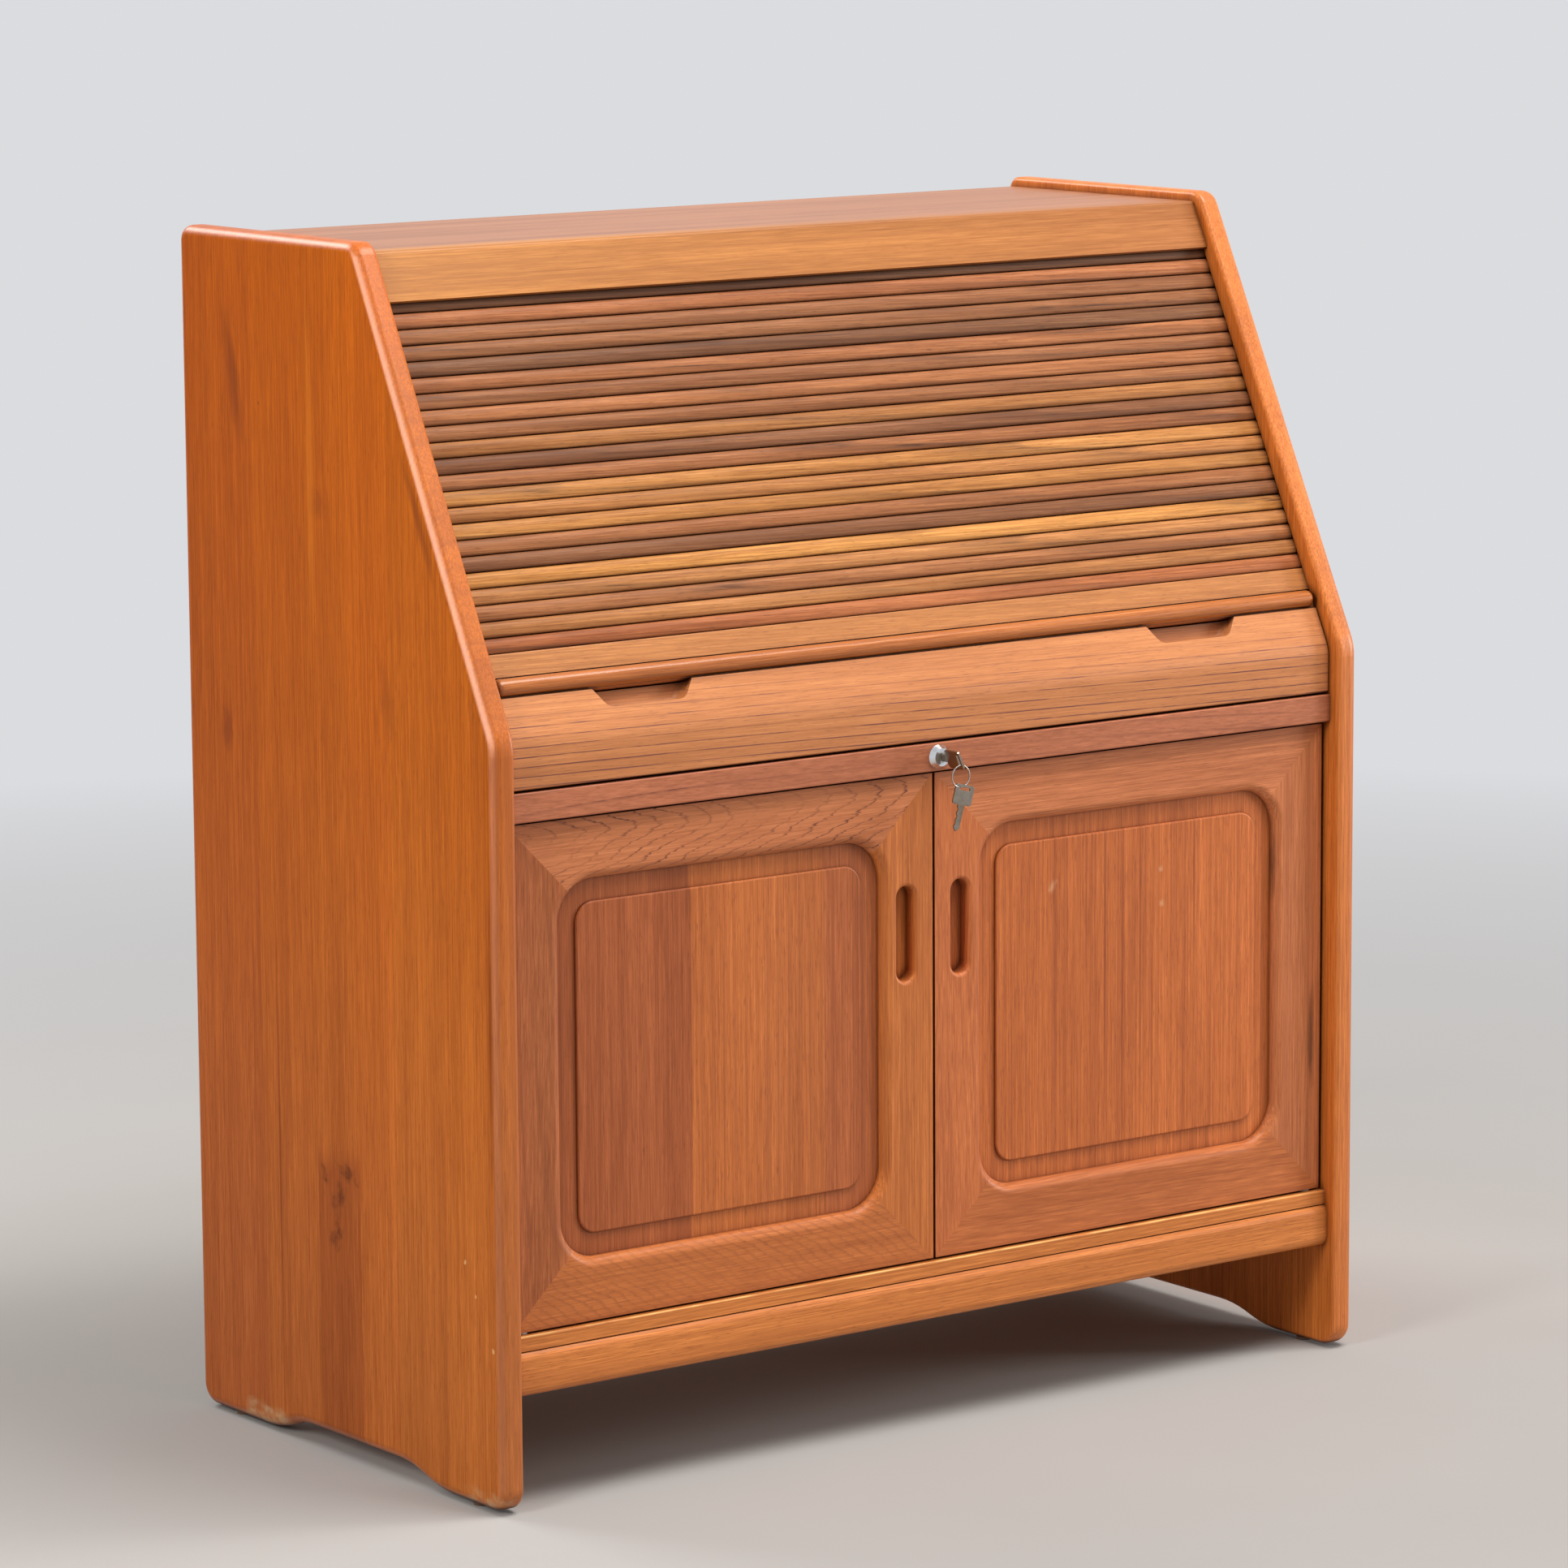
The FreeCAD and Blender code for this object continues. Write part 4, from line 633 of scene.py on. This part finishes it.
def metal(name, tint, gloss, brushed):
    """Polished metal with faint scratches and a slightly uneven tone."""
    nodes = Nodes(name)
    cloud = nodes.noise(METAL_CLOUD, 3.0)
    scratch = nodes.noise(SCRATCH, 2.0, tilt=SCRATCH_TILT)
    patch = nodes.ramp(cloud, ((0.35, grey(0.82)), (0.65, grey(1.0))))
    nodes.set(
        {
            "Base Color": nodes.mix(1.0, tint, patch, "MULTIPLY"),
            "Metallic": 1.0,
            "Roughness": nodes.spread(scratch, gloss - 0.04, gloss + 0.08),
        }
    )
    nodes.bump(scratch, brushed, SCRATCH_DEPTH)
    return nodes.material


def woven(name, body, thread):
    """Plain-woven canvas: threads each way, paler where they cross over."""
    nodes = Nodes(name)
    weave = []
    for direction in ("X", "Z"):
        inputs = {"Vector": nodes.place, "Scale": RING_TURN / thread, "Distortion": 0.6, "Detail": 1.0}
        wave = nodes.add("ShaderNodeTexWave", inputs, wave_type="BANDS", bands_direction=direction)
        weave.append(wave.outputs["Fac"])
    height = nodes.mix(0.5, weave[0], weave[1], "MULTIPLY")
    patch = nodes.ramp(nodes.noise(CANVAS_CLOUD, 3.0), ((0.3, grey(0.78)), (0.7, grey(1.05))))
    tone = nodes.mix(1.0, nodes.mix(height, CANVAS_SHADE, body), patch, "MULTIPLY")
    rough = nodes.spread(height, 0.95, 0.8)
    nodes.set({"Base Color": tone, "Roughness": rough, "Specular IOR Level": 0.2})
    nodes.bump(height, 0.5, WEAVE_DEPTH)
    return nodes.material


def moulded(name, body):
    """Moulded nylon with a fine grain and dulled patches."""
    nodes = Nodes(name)
    grain = nodes.noise(NYLON_GRAIN, 2.0)
    cloud = nodes.noise(NYLON_CLOUD, 3.0)
    patch = nodes.ramp(cloud, ((0.35, grey(0.86)), (0.65, grey(1.0))))
    tone = nodes.mix(1.0, body, patch, "MULTIPLY")
    nodes.set({"Base Color": tone, "Roughness": nodes.spread(cloud, 0.42, 0.6)})
    nodes.bump(grain, 0.15, NYLON_DEPTH)
    return nodes.material


def other_finishes():
    """Finishes of the lock, the fittings and the cloth."""
    return {
        "chrome": metal("polished_chrome", colour(228, 230, 233), 0.12, 0.05),
        "steel": metal("nickelled_steel", colour(196, 192, 186), 0.24, 0.15),
        "key": metal("worn_nickel", colour(158, 146, 132), 0.22, 0.15),
        "canvas": woven("canvas", colour(196, 180, 150), CANVAS_THREAD),
        "nylon": moulded("nylon", colour(226, 222, 210)),
        "brown_nylon": moulded("brown_nylon", colour(96, 70, 52)),
    }


# Nodes of the finishes that aren't named after their one node; slats and canvas are made further down
NODES_OF_FINISH = {
    "inner": (
        "dust_board",
        "cabinet_shelf",
        "inner_lining",
        "organiser_deck",
        "organiser_top",
        "left_letter_shelf",
        "middle_letter_shelf",
        "right_letter_shelf",
    ),
    "inner_upright": (
        "outer_left_divider",
        "inner_left_divider",
        "inner_right_divider",
        "outer_right_divider",
    ),
    "beech": ("left_slide_runner", "right_slide_runner"),
    "beech_cross": ("slide_cleat", "lock_strike", "slide_stop_rail"),
    "chrome": ("lock_housing",),
    "steel": (
        "shelf_pins",
        "left_door_pivots",
        "right_door_pivots",
        "left_door_catch_plate",
        "right_door_catch_plate",
        "lock_nut",
        "lock_plug",
        "lock_cam",
    ),
    "key": ("cabinet_key",),
    "nylon": ("pivot_bushes", "door_catches"),
    "brown_nylon": ("foot_glides",),
    "slats": (),
    "canvas": (),
}


def finish_nodes(finishes):
    """Give each node its finish."""
    for finish, material in finishes.items():
        for name in NODES_OF_FINISH.get(finish, (finish,)):
            materials = frame["nodes"][name].data.materials
            materials.clear()
            materials.append(material)


# Pieces
SHARP_ANGLE = math.radians(40)


def piece(name, mesh, material, body):
    """A named piece of the desk that moves with a body and takes its finish from a slot."""
    mesh.materials.clear()
    mesh.materials.append(material)
    item = bpy.data.objects.new(name, mesh)
    bpy.context.scene.collection.objects.link(item)
    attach(item, body)
    return item


def mesh_of(name, bm):
    """Mesh of what was built, shaded smooth but for its sharp edges."""
    bmesh.ops.recalc_face_normals(bm, faces=bm.faces)
    for face in bm.faces:
        face.smooth = True
    for edge in bm.edges:
        edge.smooth = len(edge.link_faces) == 2 and edge.calc_face_angle(0) < SHARP_ANGLE
    mesh = bpy.data.meshes.new(name)
    bm.to_mesh(mesh)
    bm.free()
    return mesh


# Slope of the roll front, from its joint and its lead rail
SLIDE = next(joint for joint in frame["joints"] if joint["name"] == "tambour_slide")
UP_SLOPE = Vector(SLIDE["axis"]).normalized()
OUT_OF_SLOPE = Vector((0, -UP_SLOPE.z, UP_SLOPE.y))


def reach(node, direction):
    """Lowest and highest place of a node along a direction."""
    places = [vertex.co.dot(direction) for vertex in frame["nodes"][node].data.vertices]
    return min(places), max(places)


LEAD_TOP = reach("tambour_lead_rail", UP_SLOPE)[1]
SLAT_BACK, SLAT_FRONT = reach("tambour_lead_rail", OUT_OF_SLOPE)
SLAT_THICK = SLAT_FRONT - SLAT_BACK
SLAT_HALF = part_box("tambour_lead_rail")[1].x
BEND_START = LEAD_TOP + SLIDE["range_m"][1]
BEND_OUT = (SLAT_FRONT + SLAT_BACK) / 2 - BEND_RADIUS
CANVAS_RADIUS = BEND_RADIUS - SLAT_THICK / 2


def slope_point(x, along, out):
    """Point at a place across, up the slope and out of it."""
    return X_AXIS * x + UP_SLOPE * along + OUT_OF_SLOPE * out


def slat_section():
    """Outline of a slat about its middle (along, out): flat back, short edges, rounded front."""
    half = (SLAT_PITCH - SLAT_GAP) / 2
    edge = SLAT_THICK / 2 - SLAT_CROWN
    radius = (half**2 + SLAT_CROWN**2) / (2 * SLAT_CROWN)
    spread = math.asin((half - SLAT_EDGE_ROUND) / radius)
    middle = SLAT_THICK / 2 - radius
    steps = 9
    arc = []
    for step in range(steps + 1):
        angle = spread * (1 - 2 * step / steps)
        arc.append((radius * math.sin(angle), middle + radius * math.cos(angle)))
    back = -SLAT_THICK / 2
    low = [(-half, edge - SLAT_EDGE_ROUND), (-half, back)]
    high = [(half, back), (half, edge - SLAT_EDGE_ROUND)]
    return arc + low + high


def slat_places():
    """Middle of each slat and the way that it faces: up the slope first, then over the bend."""
    places = []
    along = LEAD_TOP + SLAT_PITCH / 2
    while along < BEND_START:
        places.append((along, BEND_OUT + BEND_RADIUS, 0.0))
        along += SLAT_PITCH
    for _ in range(SLATS_IN_BEND):
        angle = (along - BEND_START) / (CANVAS_RADIUS - CANVAS_THICK / 2)
        places.append(
            (BEND_START + BEND_RADIUS * math.sin(angle), BEND_OUT + BEND_RADIUS * math.cos(angle), angle)
        )
        along += SLAT_PITCH
    return places


def mixed(first, second, share):
    return [a + (b - a) * share for a, b in zip(first, second)]


def slat_tint(tone, red):
    """Colour of one slat, from dark brown by tan to gold, and turned to red."""
    brown, tan, gold = colour(98, 64, 45), colour(148, 95, 58), colour(188, 127, 66)
    plain = mixed(brown, tan, tone * 2) if tone < 0.5 else mixed(tan, gold, tone * 2 - 1)
    return mixed(plain, colour(160, 92, 56), red)


def slats(material):
    """Slats of the roll front, each with a tint of its own."""
    bm = bmesh.new()
    tints = bm.loops.layers.float_color.new("slat_colour")
    section = slat_section()
    canvas_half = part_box("tambour_canvas")[1].x
    for (along, out, angle), tone, red in zip(slat_places(), SLAT_TONE_SHARES, SLAT_RED_SHARES):
        rows = []
        half = canvas_half if angle else SLAT_HALF
        for x in (-half, -half / 3, half / 3, half):
            row = []
            for up, forward in section:
                turned_up = up * math.cos(angle) + forward * math.sin(angle)
                turned_out = forward * math.cos(angle) - up * math.sin(angle)
                row.append(bm.verts.new(slope_point(x, along + turned_up, out + turned_out)))
            rows.append(row)
        faces = [bm.faces.new(rows[0]), bm.faces.new(rows[-1][::-1])]
        for near, far in zip(rows, rows[1:]):
            for number in range(len(section)):
                after = (number + 1) % len(section)
                faces.append(bm.faces.new((near[number], far[number], far[after], near[after])))
        tint = slat_tint(tone, red)
        for face in faces:
            for loop in face.loops:
                loop[tints] = tint
    item = piece("roll_front_slats", mesh_of("roll_front_slats", bm), material, "tambour")
    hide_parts("tambour_slats")
    roll_up(item)


def roll_up(item):
    """Gives the piece its own copy of its mesh."""
    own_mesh(item)


def canvas(material):
    """Backing sheet glued behind the slats, from the lead rail over the bend."""
    low_box, high_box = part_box("tambour_canvas")
    sweep = math.pi / 2 - math.atan2(UP_SLOPE.y, UP_SLOPE.z)
    start = LEAD_TOP - CANVAS_LAP
    line = [(start, 0.0)]
    straight_steps = 24
    for step in range(1, straight_steps + 1):
        line.append((start + (BEND_START - start) * step / straight_steps, 0.0))
    bend_steps = 8
    for step in range(1, bend_steps + 1):
        line.append((BEND_START, sweep * step / bend_steps))
    bm = bmesh.new()
    across_steps = 12
    layers = []
    for depth in (0.0, CANVAS_THICK):
        grid = []
        for along, angle in line:
            radius = CANVAS_RADIUS - depth
            up = along + radius * math.sin(angle)
            out = BEND_OUT + radius * math.cos(angle)
            row = []
            for step in range(across_steps + 1):
                x = low_box.x + (high_box.x - low_box.x) * step / across_steps
                row.append(bm.verts.new(slope_point(x, up, out)))
            grid.append(row)
        layers.append(grid)
    for grid in layers:
        for near, far in zip(grid, grid[1:]):
            for number in range(across_steps):
                bm.faces.new((near[number], near[number + 1], far[number + 1], far[number]))
    front, back = layers
    rims = [(front[0], back[0]), (front[-1], back[-1])]
    rims += [([row[end] for row in front], [row[end] for row in back]) for end in (0, -1)]
    for one, other in rims:
        for number in range(len(one) - 1):
            bm.faces.new((one[number], one[number + 1], other[number + 1], other[number]))
    item = piece("roll_front_canvas", mesh_of("roll_front_canvas", bm), material, "tambour")
    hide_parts("tambour_canvas")
    roll_up(item)


# Key ring and spare key
RING_RADIUS = 10.6 * MM
RING_WIRE = 0.55 * MM
RING_TURNS = 2
RING_PITCH = 1.15 * MM
RING_SEAT_SHARE = 1.2
SLOT_DEPTH = 1.5 * MM
SLOT_ROUND_SHARE = 0.7
KEY_TILT = math.radians(23)
KEY_SLOT_HALF = 6 * MM
KEY_BAR = 2.5 * MM
SPARE_TURN = math.radians(-8)
SPARE_LEAN = math.radians(15)
SPARE_BOW_LENGTH = 20 * MM
SPARE_BOW_WIDTH = 21 * MM
SPARE_BOW_ROUND = 2.5 * MM
SPARE_THICK = 2 * MM
SPARE_EDGE = 0.25 * MM
SPARE_BLADE = 26 * MM
SPARE_BLADE_WIDTH = 7 * MM
SPARE_TIP = 3 * MM
# Depth of each cut in the blade, and where along its length the floor of a cut starts and ends
SPARE_BITS = (0.0, 1.4 * MM, 0.5 * MM, 1.9 * MM, 0.9 * MM, 1.6 * MM, 0.4 * MM)
BIT_FLOOR_SHARES = (0.35, 0.75)
SAME_HEIGHT = 0.1 * MM
SAME_PLACE = 0.01 * MM


def tube(points, radius, sides=12):
    """Closed round wire along points."""
    bm = bmesh.new()
    rows = []
    for number, point in enumerate(points):
        before = points[max(number - 1, 0)]
        after = points[min(number + 1, len(points) - 1)]
        heading = (after - before).normalized()
        across = heading.cross(Vector((0, 1, 0))).normalized()
        lift = heading.cross(across)
        row = []
        for side in range(sides):
            angle = math.tau * side / sides
            row.append(bm.verts.new(point + (across * math.cos(angle) + lift * math.sin(angle)) * radius))
        rows.append(row)
    for near, far in zip(rows, rows[1:]):
        for side in range(sides):
            after = (side + 1) % sides
            bm.faces.new((near[side], near[after], far[after], far[side]))
    bm.faces.new(rows[0][::-1])
    bm.faces.new(rows[-1])
    return bm


def key_ring(material):
    """Split ring: two turns of wire through the slot of the key in the lock. Gives its lowest point."""
    key_low, key_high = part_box("cabinet_key")
    lock_axis = Vector(((key_low.x + key_high.x) / 2, 0, (key_low.z + key_high.z) / 2))
    slot_end = KEY_SLOT_HALF - RING_WIRE * RING_SEAT_SHARE
    hang = lock_axis + Vector((math.sin(KEY_TILT), 0, -math.cos(KEY_TILT))) * slot_end
    centre = hang + Vector((0, key_low.y + KEY_BAR + SLOT_DEPTH, -RING_RADIUS))
    steps = 96
    points = []
    for step in range(steps * RING_TURNS + 1):
        turn = math.tau * step / steps
        shift = RING_PITCH * (step / steps / RING_TURNS - 0.5)
        side, up = math.sin(turn) * RING_RADIUS, -math.cos(turn) * RING_RADIUS
        points.append(centre + Vector((side, shift, up)))
    mesh = mesh_of("key_ring", tube(points, RING_WIRE))
    piece("key_ring", mesh, material, "key")
    return centre - Vector((0, 0, RING_RADIUS))


def rounded_loop(low_x, high_x, low_z, high_z, radius, steps=5):
    """Points round a rectangle with rounded corners."""
    corners = (
        (high_x - radius, high_z - radius, 0),
        (low_x + radius, high_z - radius, 1),
        (low_x + radius, low_z + radius, 2),
        (high_x - radius, low_z + radius, 3),
    )
    points = []
    for x, z, quarter in corners:
        for step in range(steps + 1):
            angle = math.pi / 2 * (quarter + step / steps)
            points.append((x + radius * math.cos(angle), z + radius * math.sin(angle)))
    return points


def spare_outline():
    """Flat key hanging by its slot, seen from the side: bow on top, cut blade below."""
    half = SPARE_BOW_WIDTH / 2
    blade_top = -SPARE_BOW_LENGTH
    blade_end = blade_top - SPARE_BLADE
    points = rounded_loop(-half, half, blade_top, 0, SPARE_BOW_ROUND)
    split = next(number for number, (_, up) in enumerate(points) if up <= blade_top + SAME_HEIGHT)
    shoulder = SPARE_BLADE_WIDTH / 2
    blade = [(-shoulder, blade_top)]
    bit = (SPARE_BLADE - SPARE_TIP) / len(SPARE_BITS)
    for number, depth in enumerate(SPARE_BITS):
        start = blade_top - bit * number
        for share in BIT_FLOOR_SHARES:
            blade.append((-shoulder + depth, start - bit * share))
    blade += [(0, blade_end), (shoulder, blade_end + SPARE_TIP), (shoulder, blade_top)]
    return points[: split + 1] + blade + points[split + 1 :]


def spare_key(material, hang):
    """Second key, which hangs from the ring by its slot."""
    flat = bpy.data.curves.new("spare_key_outline", "CURVE")
    flat.dimensions = "2D"
    flat.fill_mode = "BOTH"
    flat.extrude = SPARE_THICK / 2 - SPARE_EDGE
    flat.bevel_depth = SPARE_EDGE
    flat.bevel_resolution = 2
    flat.offset = -SPARE_EDGE
    slot_top = -KEY_BAR
    slot_low = slot_top - 2 * SLOT_DEPTH
    slot_round = SLOT_DEPTH * SLOT_ROUND_SHARE
    slot = rounded_loop(-KEY_SLOT_HALF, KEY_SLOT_HALF, slot_low, slot_top, slot_round)
    for outline in (spare_outline(), slot):
        spline = flat.splines.new("POLY")
        spline.points.add(len(outline) - 1)
        for spot, (across, up) in zip(spline.points, outline):
            spot.co = (across, up, 0, 1)
        spline.use_cyclic_u = True
    drawn = bpy.data.objects.new("spare_key_outline", flat)
    bpy.context.scene.collection.objects.link(drawn)
    bpy.context.view_layer.update()
    mesh = bpy.data.meshes.new_from_object(drawn.evaluated_get(bpy.context.evaluated_depsgraph_get()))
    bpy.data.objects.remove(drawn)
    stand = Matrix.Rotation(math.pi / 2, 4, "X")
    lean = Matrix.Rotation(SPARE_LEAN, 4, "Y")
    turn = Matrix.Rotation(SPARE_TURN, 4, "Z")
    drop = Matrix.Translation((KEY_SLOT_HALF - SLOT_DEPTH, 0, RING_WIRE - slot_top))
    mesh.transform(Matrix.Translation(hang) @ turn @ lean @ drop @ stand)
    bm = bmesh.new()
    bm.from_mesh(mesh)
    bmesh.ops.remove_doubles(bm, verts=bm.verts, dist=SAME_PLACE)
    piece("spare_key", mesh_of("spare_key", bm), material, "key")


# Screws that hold the back panel
SCREW_RADIUS = 3.6 * MM
SCREW_PROUD = 1.3 * MM
SCREW_SLOT = 0.9 * MM
SCREW_ROUND = 0.5 * MM
SCREW_INSET = 16 * MM
SCREW_STEP_TURN = math.radians(40.107)
SCREWS_UP = 4
SCREWS_ACROSS = 4


def screw_half(bm, centre, side, turn):
    """One half of a slotted round head, on one side of its slot."""
    steps = 10
    rings = []
    for radius, height in (
        (SCREW_RADIUS, 0.0),
        (SCREW_RADIUS, SCREW_PROUD - SCREW_ROUND),
        (SCREW_RADIUS - SCREW_ROUND, SCREW_PROUD),
    ):
        edge = SCREW_SLOT / 2
        start = math.asin(edge / radius)
        ring = []
        for step in range(steps + 1):
            angle = start + (math.pi - 2 * start) * step / steps
            spot = Vector((radius * math.cos(angle), height, side * radius * math.sin(angle)))
            ring.append(bm.verts.new(centre + Matrix.Rotation(turn, 3, "Y") @ spot))
        rings.append(ring)
    for near, far in zip(rings, rings[1:]):
        for number in range(steps + 1):
            after = (number + 1) % (steps + 1)
            bm.faces.new((near[number], near[after], far[after], far[number]))
    bm.faces.new(rings[0])
    bm.faces.new(rings[-1])


def back_screws(material):
    """Screws round the edge of the back panel, each turned to where it came tight."""
    low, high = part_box("back_panel")
    bm = bmesh.new()
    spots = []
    for number in range(SCREWS_UP):
        z = low.z + SCREW_INSET + (high.z - low.z - 2 * SCREW_INSET) * number / (SCREWS_UP - 1)
        spots += [(low.x + SCREW_INSET, z), (high.x - SCREW_INSET, z)]
    for number in range(1, SCREWS_ACROSS):
        x = low.x + SCREW_INSET + (high.x - low.x - 2 * SCREW_INSET) * number / SCREWS_ACROSS
        spots += [(x, low.z + SCREW_INSET), (x, high.z - SCREW_INSET)]
    for number, (x, z) in enumerate(spots):
        for side in (-1, 1):
            screw_half(bm, Vector((x, high.y, z)), side, SCREW_STEP_TURN * number)
    piece("back_screws", mesh_of("back_screws", bm), material, "case")


# Stage, light and camera
FLOOR_RADIUS = 60
FLOOR_TONE = colour(168, 165, 162)
FAR_FLOOR_TONE = colour(219, 220, 223)
NEAR_FLOOR = 1.1
FAR_FLOOR = 4.0
FLOOR_CLOUD = (0.5, 0.5, 0.5)
LAMPS = (
    # name, place, size each way, power, tint, whether it lights, whether it is mirrored
    ("main_light", (0.9, -1.4, 4.2), (2.4, 1.8), 180, (1.0, 0.98, 0.96), True, True),
    ("right_light", (6.3, -3.5, 2.0), (1.9, 2.4), 268, (1.0, 0.98, 0.96), True, True),
    ("left_light", (-3.9, -1.05, 2.3), (1.2, 1.5), 86, (1.0, 0.97, 0.94), True, False),
    ("left_card", (-4.2, -1.15, 2.3), (5.2, 2.6), 480, (1.0, 0.98, 0.96), False, True),
    ("back_light", (-1.2, 2.6, 3.0), (1.8, 1.0), 72, (1.0, 1.0, 1.0), True, True),
)
# The one node that a lamp shines on, where it doesn't shine on all
NODE_OF_LAMP = {"left_card": "left_side"}
WORLD_TONE = grey(0.36)
SEEN_WORLD_TONE = FAR_FLOOR_TONE


def seen_ray(tree):
    """1 for the rays that show a background: straight from the camera, mirrored or through glass."""
    path = tree.nodes.new("ShaderNodeLightPath")
    seen = path.outputs["Is Camera Ray"]
    for ray in ("Is Glossy Ray", "Is Transmission Ray"):
        either = tree.nodes.new("ShaderNodeMath")
        either.operation = "MAXIMUM"
        tree.links.new(seen, either.inputs[0])
        tree.links.new(path.outputs[ray], either.inputs[1])
        seen = either.outputs[0]
    return seen


def stage():
    """Pale floor that takes the shadow of the desk and brightens to an even background far from it."""
    bm = bmesh.new()
    bmesh.ops.create_circle(bm, cap_ends=True, radius=FLOOR_RADIUS, segments=64)
    floor = bpy.data.objects.new("floor", mesh_of("floor", bm))
    bpy.context.scene.collection.objects.link(floor)
    nodes = Nodes("pale_floor")
    cloud = nodes.ramp(nodes.noise(FLOOR_CLOUD, 4.0), ((0.3, grey(0.965)), (0.7, grey(1.0))))
    tone = nodes.mix(1.0, FLOOR_TONE, cloud, "MULTIPLY")
    nodes.set({"Base Color": tone, "Roughness": 0.75, "Specular IOR Level": 0.0})
    away = nodes.add("ShaderNodeVectorMath", {0: nodes.place}, operation="LENGTH").outputs["Value"]
    far = nodes.spread(away, 0.0, 1.0, NEAR_FLOOR, FAR_FLOOR)
    share = nodes.math("MULTIPLY", far, seen_ray(nodes.tree))
    glow = nodes.add("ShaderNodeEmission", {"Color": FAR_FLOOR_TONE, "Strength": 1.0})
    choice = nodes.add("ShaderNodeMixShader", {0: share, 1: nodes.shader.outputs[0], 2: glow.outputs[0]})
    nodes.feed(nodes.tree.nodes["Material Output"].inputs["Surface"], choice.outputs[0])
    floor.data.materials.append(nodes.material)


def light():
    """Soft lamps round the desk and an even world behind them."""
    for name, place, size, power, tint, lights, mirrored in LAMPS:
        lamp = bpy.data.lights.new(name, "AREA")
        lamp.shape = "RECTANGLE"
        lamp.size, lamp.size_y = size
        lamp.energy = power
        lamp.color = tint
        item = bpy.data.objects.new(name, lamp)
        item.visible_diffuse = lights
        item.visible_glossy = mirrored
        if name in NODE_OF_LAMP:
            only = bpy.data.collections.new(name + "_target")
            only.objects.link(frame["nodes"][NODE_OF_LAMP[name]])
            item.light_linking.receiver_collection = only
        item.location = place
        item.rotation_euler = (CAMERA_AIM - Vector(place)).to_track_quat("-Z", "Y").to_euler()
        bpy.context.scene.collection.objects.link(item)
    world = bpy.data.worlds.new("studio")
    world.use_nodes = True
    tree = world.node_tree
    choice = tree.nodes.new("ShaderNodeMix")
    choice.data_type = "RGBA"
    tree.links.new(seen_ray(tree), choice.inputs[0])
    choice.inputs[6].default_value = WORLD_TONE
    choice.inputs[7].default_value = SEEN_WORLD_TONE
    tree.links.new(choice.outputs[2], tree.nodes["Background"].inputs["Color"])
    bpy.context.scene.world = world


def camera():
    """Camera at the viewing angle of the photograph."""
    flat = math.cos(CAMERA_ELEVATION)
    back = Vector(
        (math.sin(CAMERA_AZIMUTH) * flat, -math.cos(CAMERA_AZIMUTH) * flat, math.sin(CAMERA_ELEVATION))
    )
    right = Vector((math.cos(CAMERA_AZIMUTH), math.sin(CAMERA_AZIMUTH), 0))
    roll = Matrix.Rotation(CAMERA_ROLL, 3, back)
    right = roll @ right
    up = back.cross(right)
    lens = bpy.data.cameras.new("camera")
    lens.sensor_width = SENSOR_WIDTH
    lens.lens = SENSOR_WIDTH * FOCAL_PIXELS / IMAGE_PIXELS
    item = bpy.data.objects.new("camera", lens)
    place = CAMERA_AIM + right * CAMERA_SHIFT_RIGHT + up * CAMERA_SHIFT_UP + back * CAMERA_DISTANCE
    item.matrix_world = Matrix.Translation(place) @ Matrix((right, up, back)).transposed().to_4x4()
    bpy.context.scene.collection.objects.link(item)
    bpy.context.scene.camera = item


bpy.context.scene.view_settings.view_transform = "Standard"
finishes = {**wood_finishes(), **other_finishes()}
finish_nodes(finishes)
slats(finishes["slats"])
canvas(finishes["canvas"])
spare_key(finishes["key"], key_ring(finishes["steel"]))
back_screws(finishes["steel"])
stage()
light()
camera()
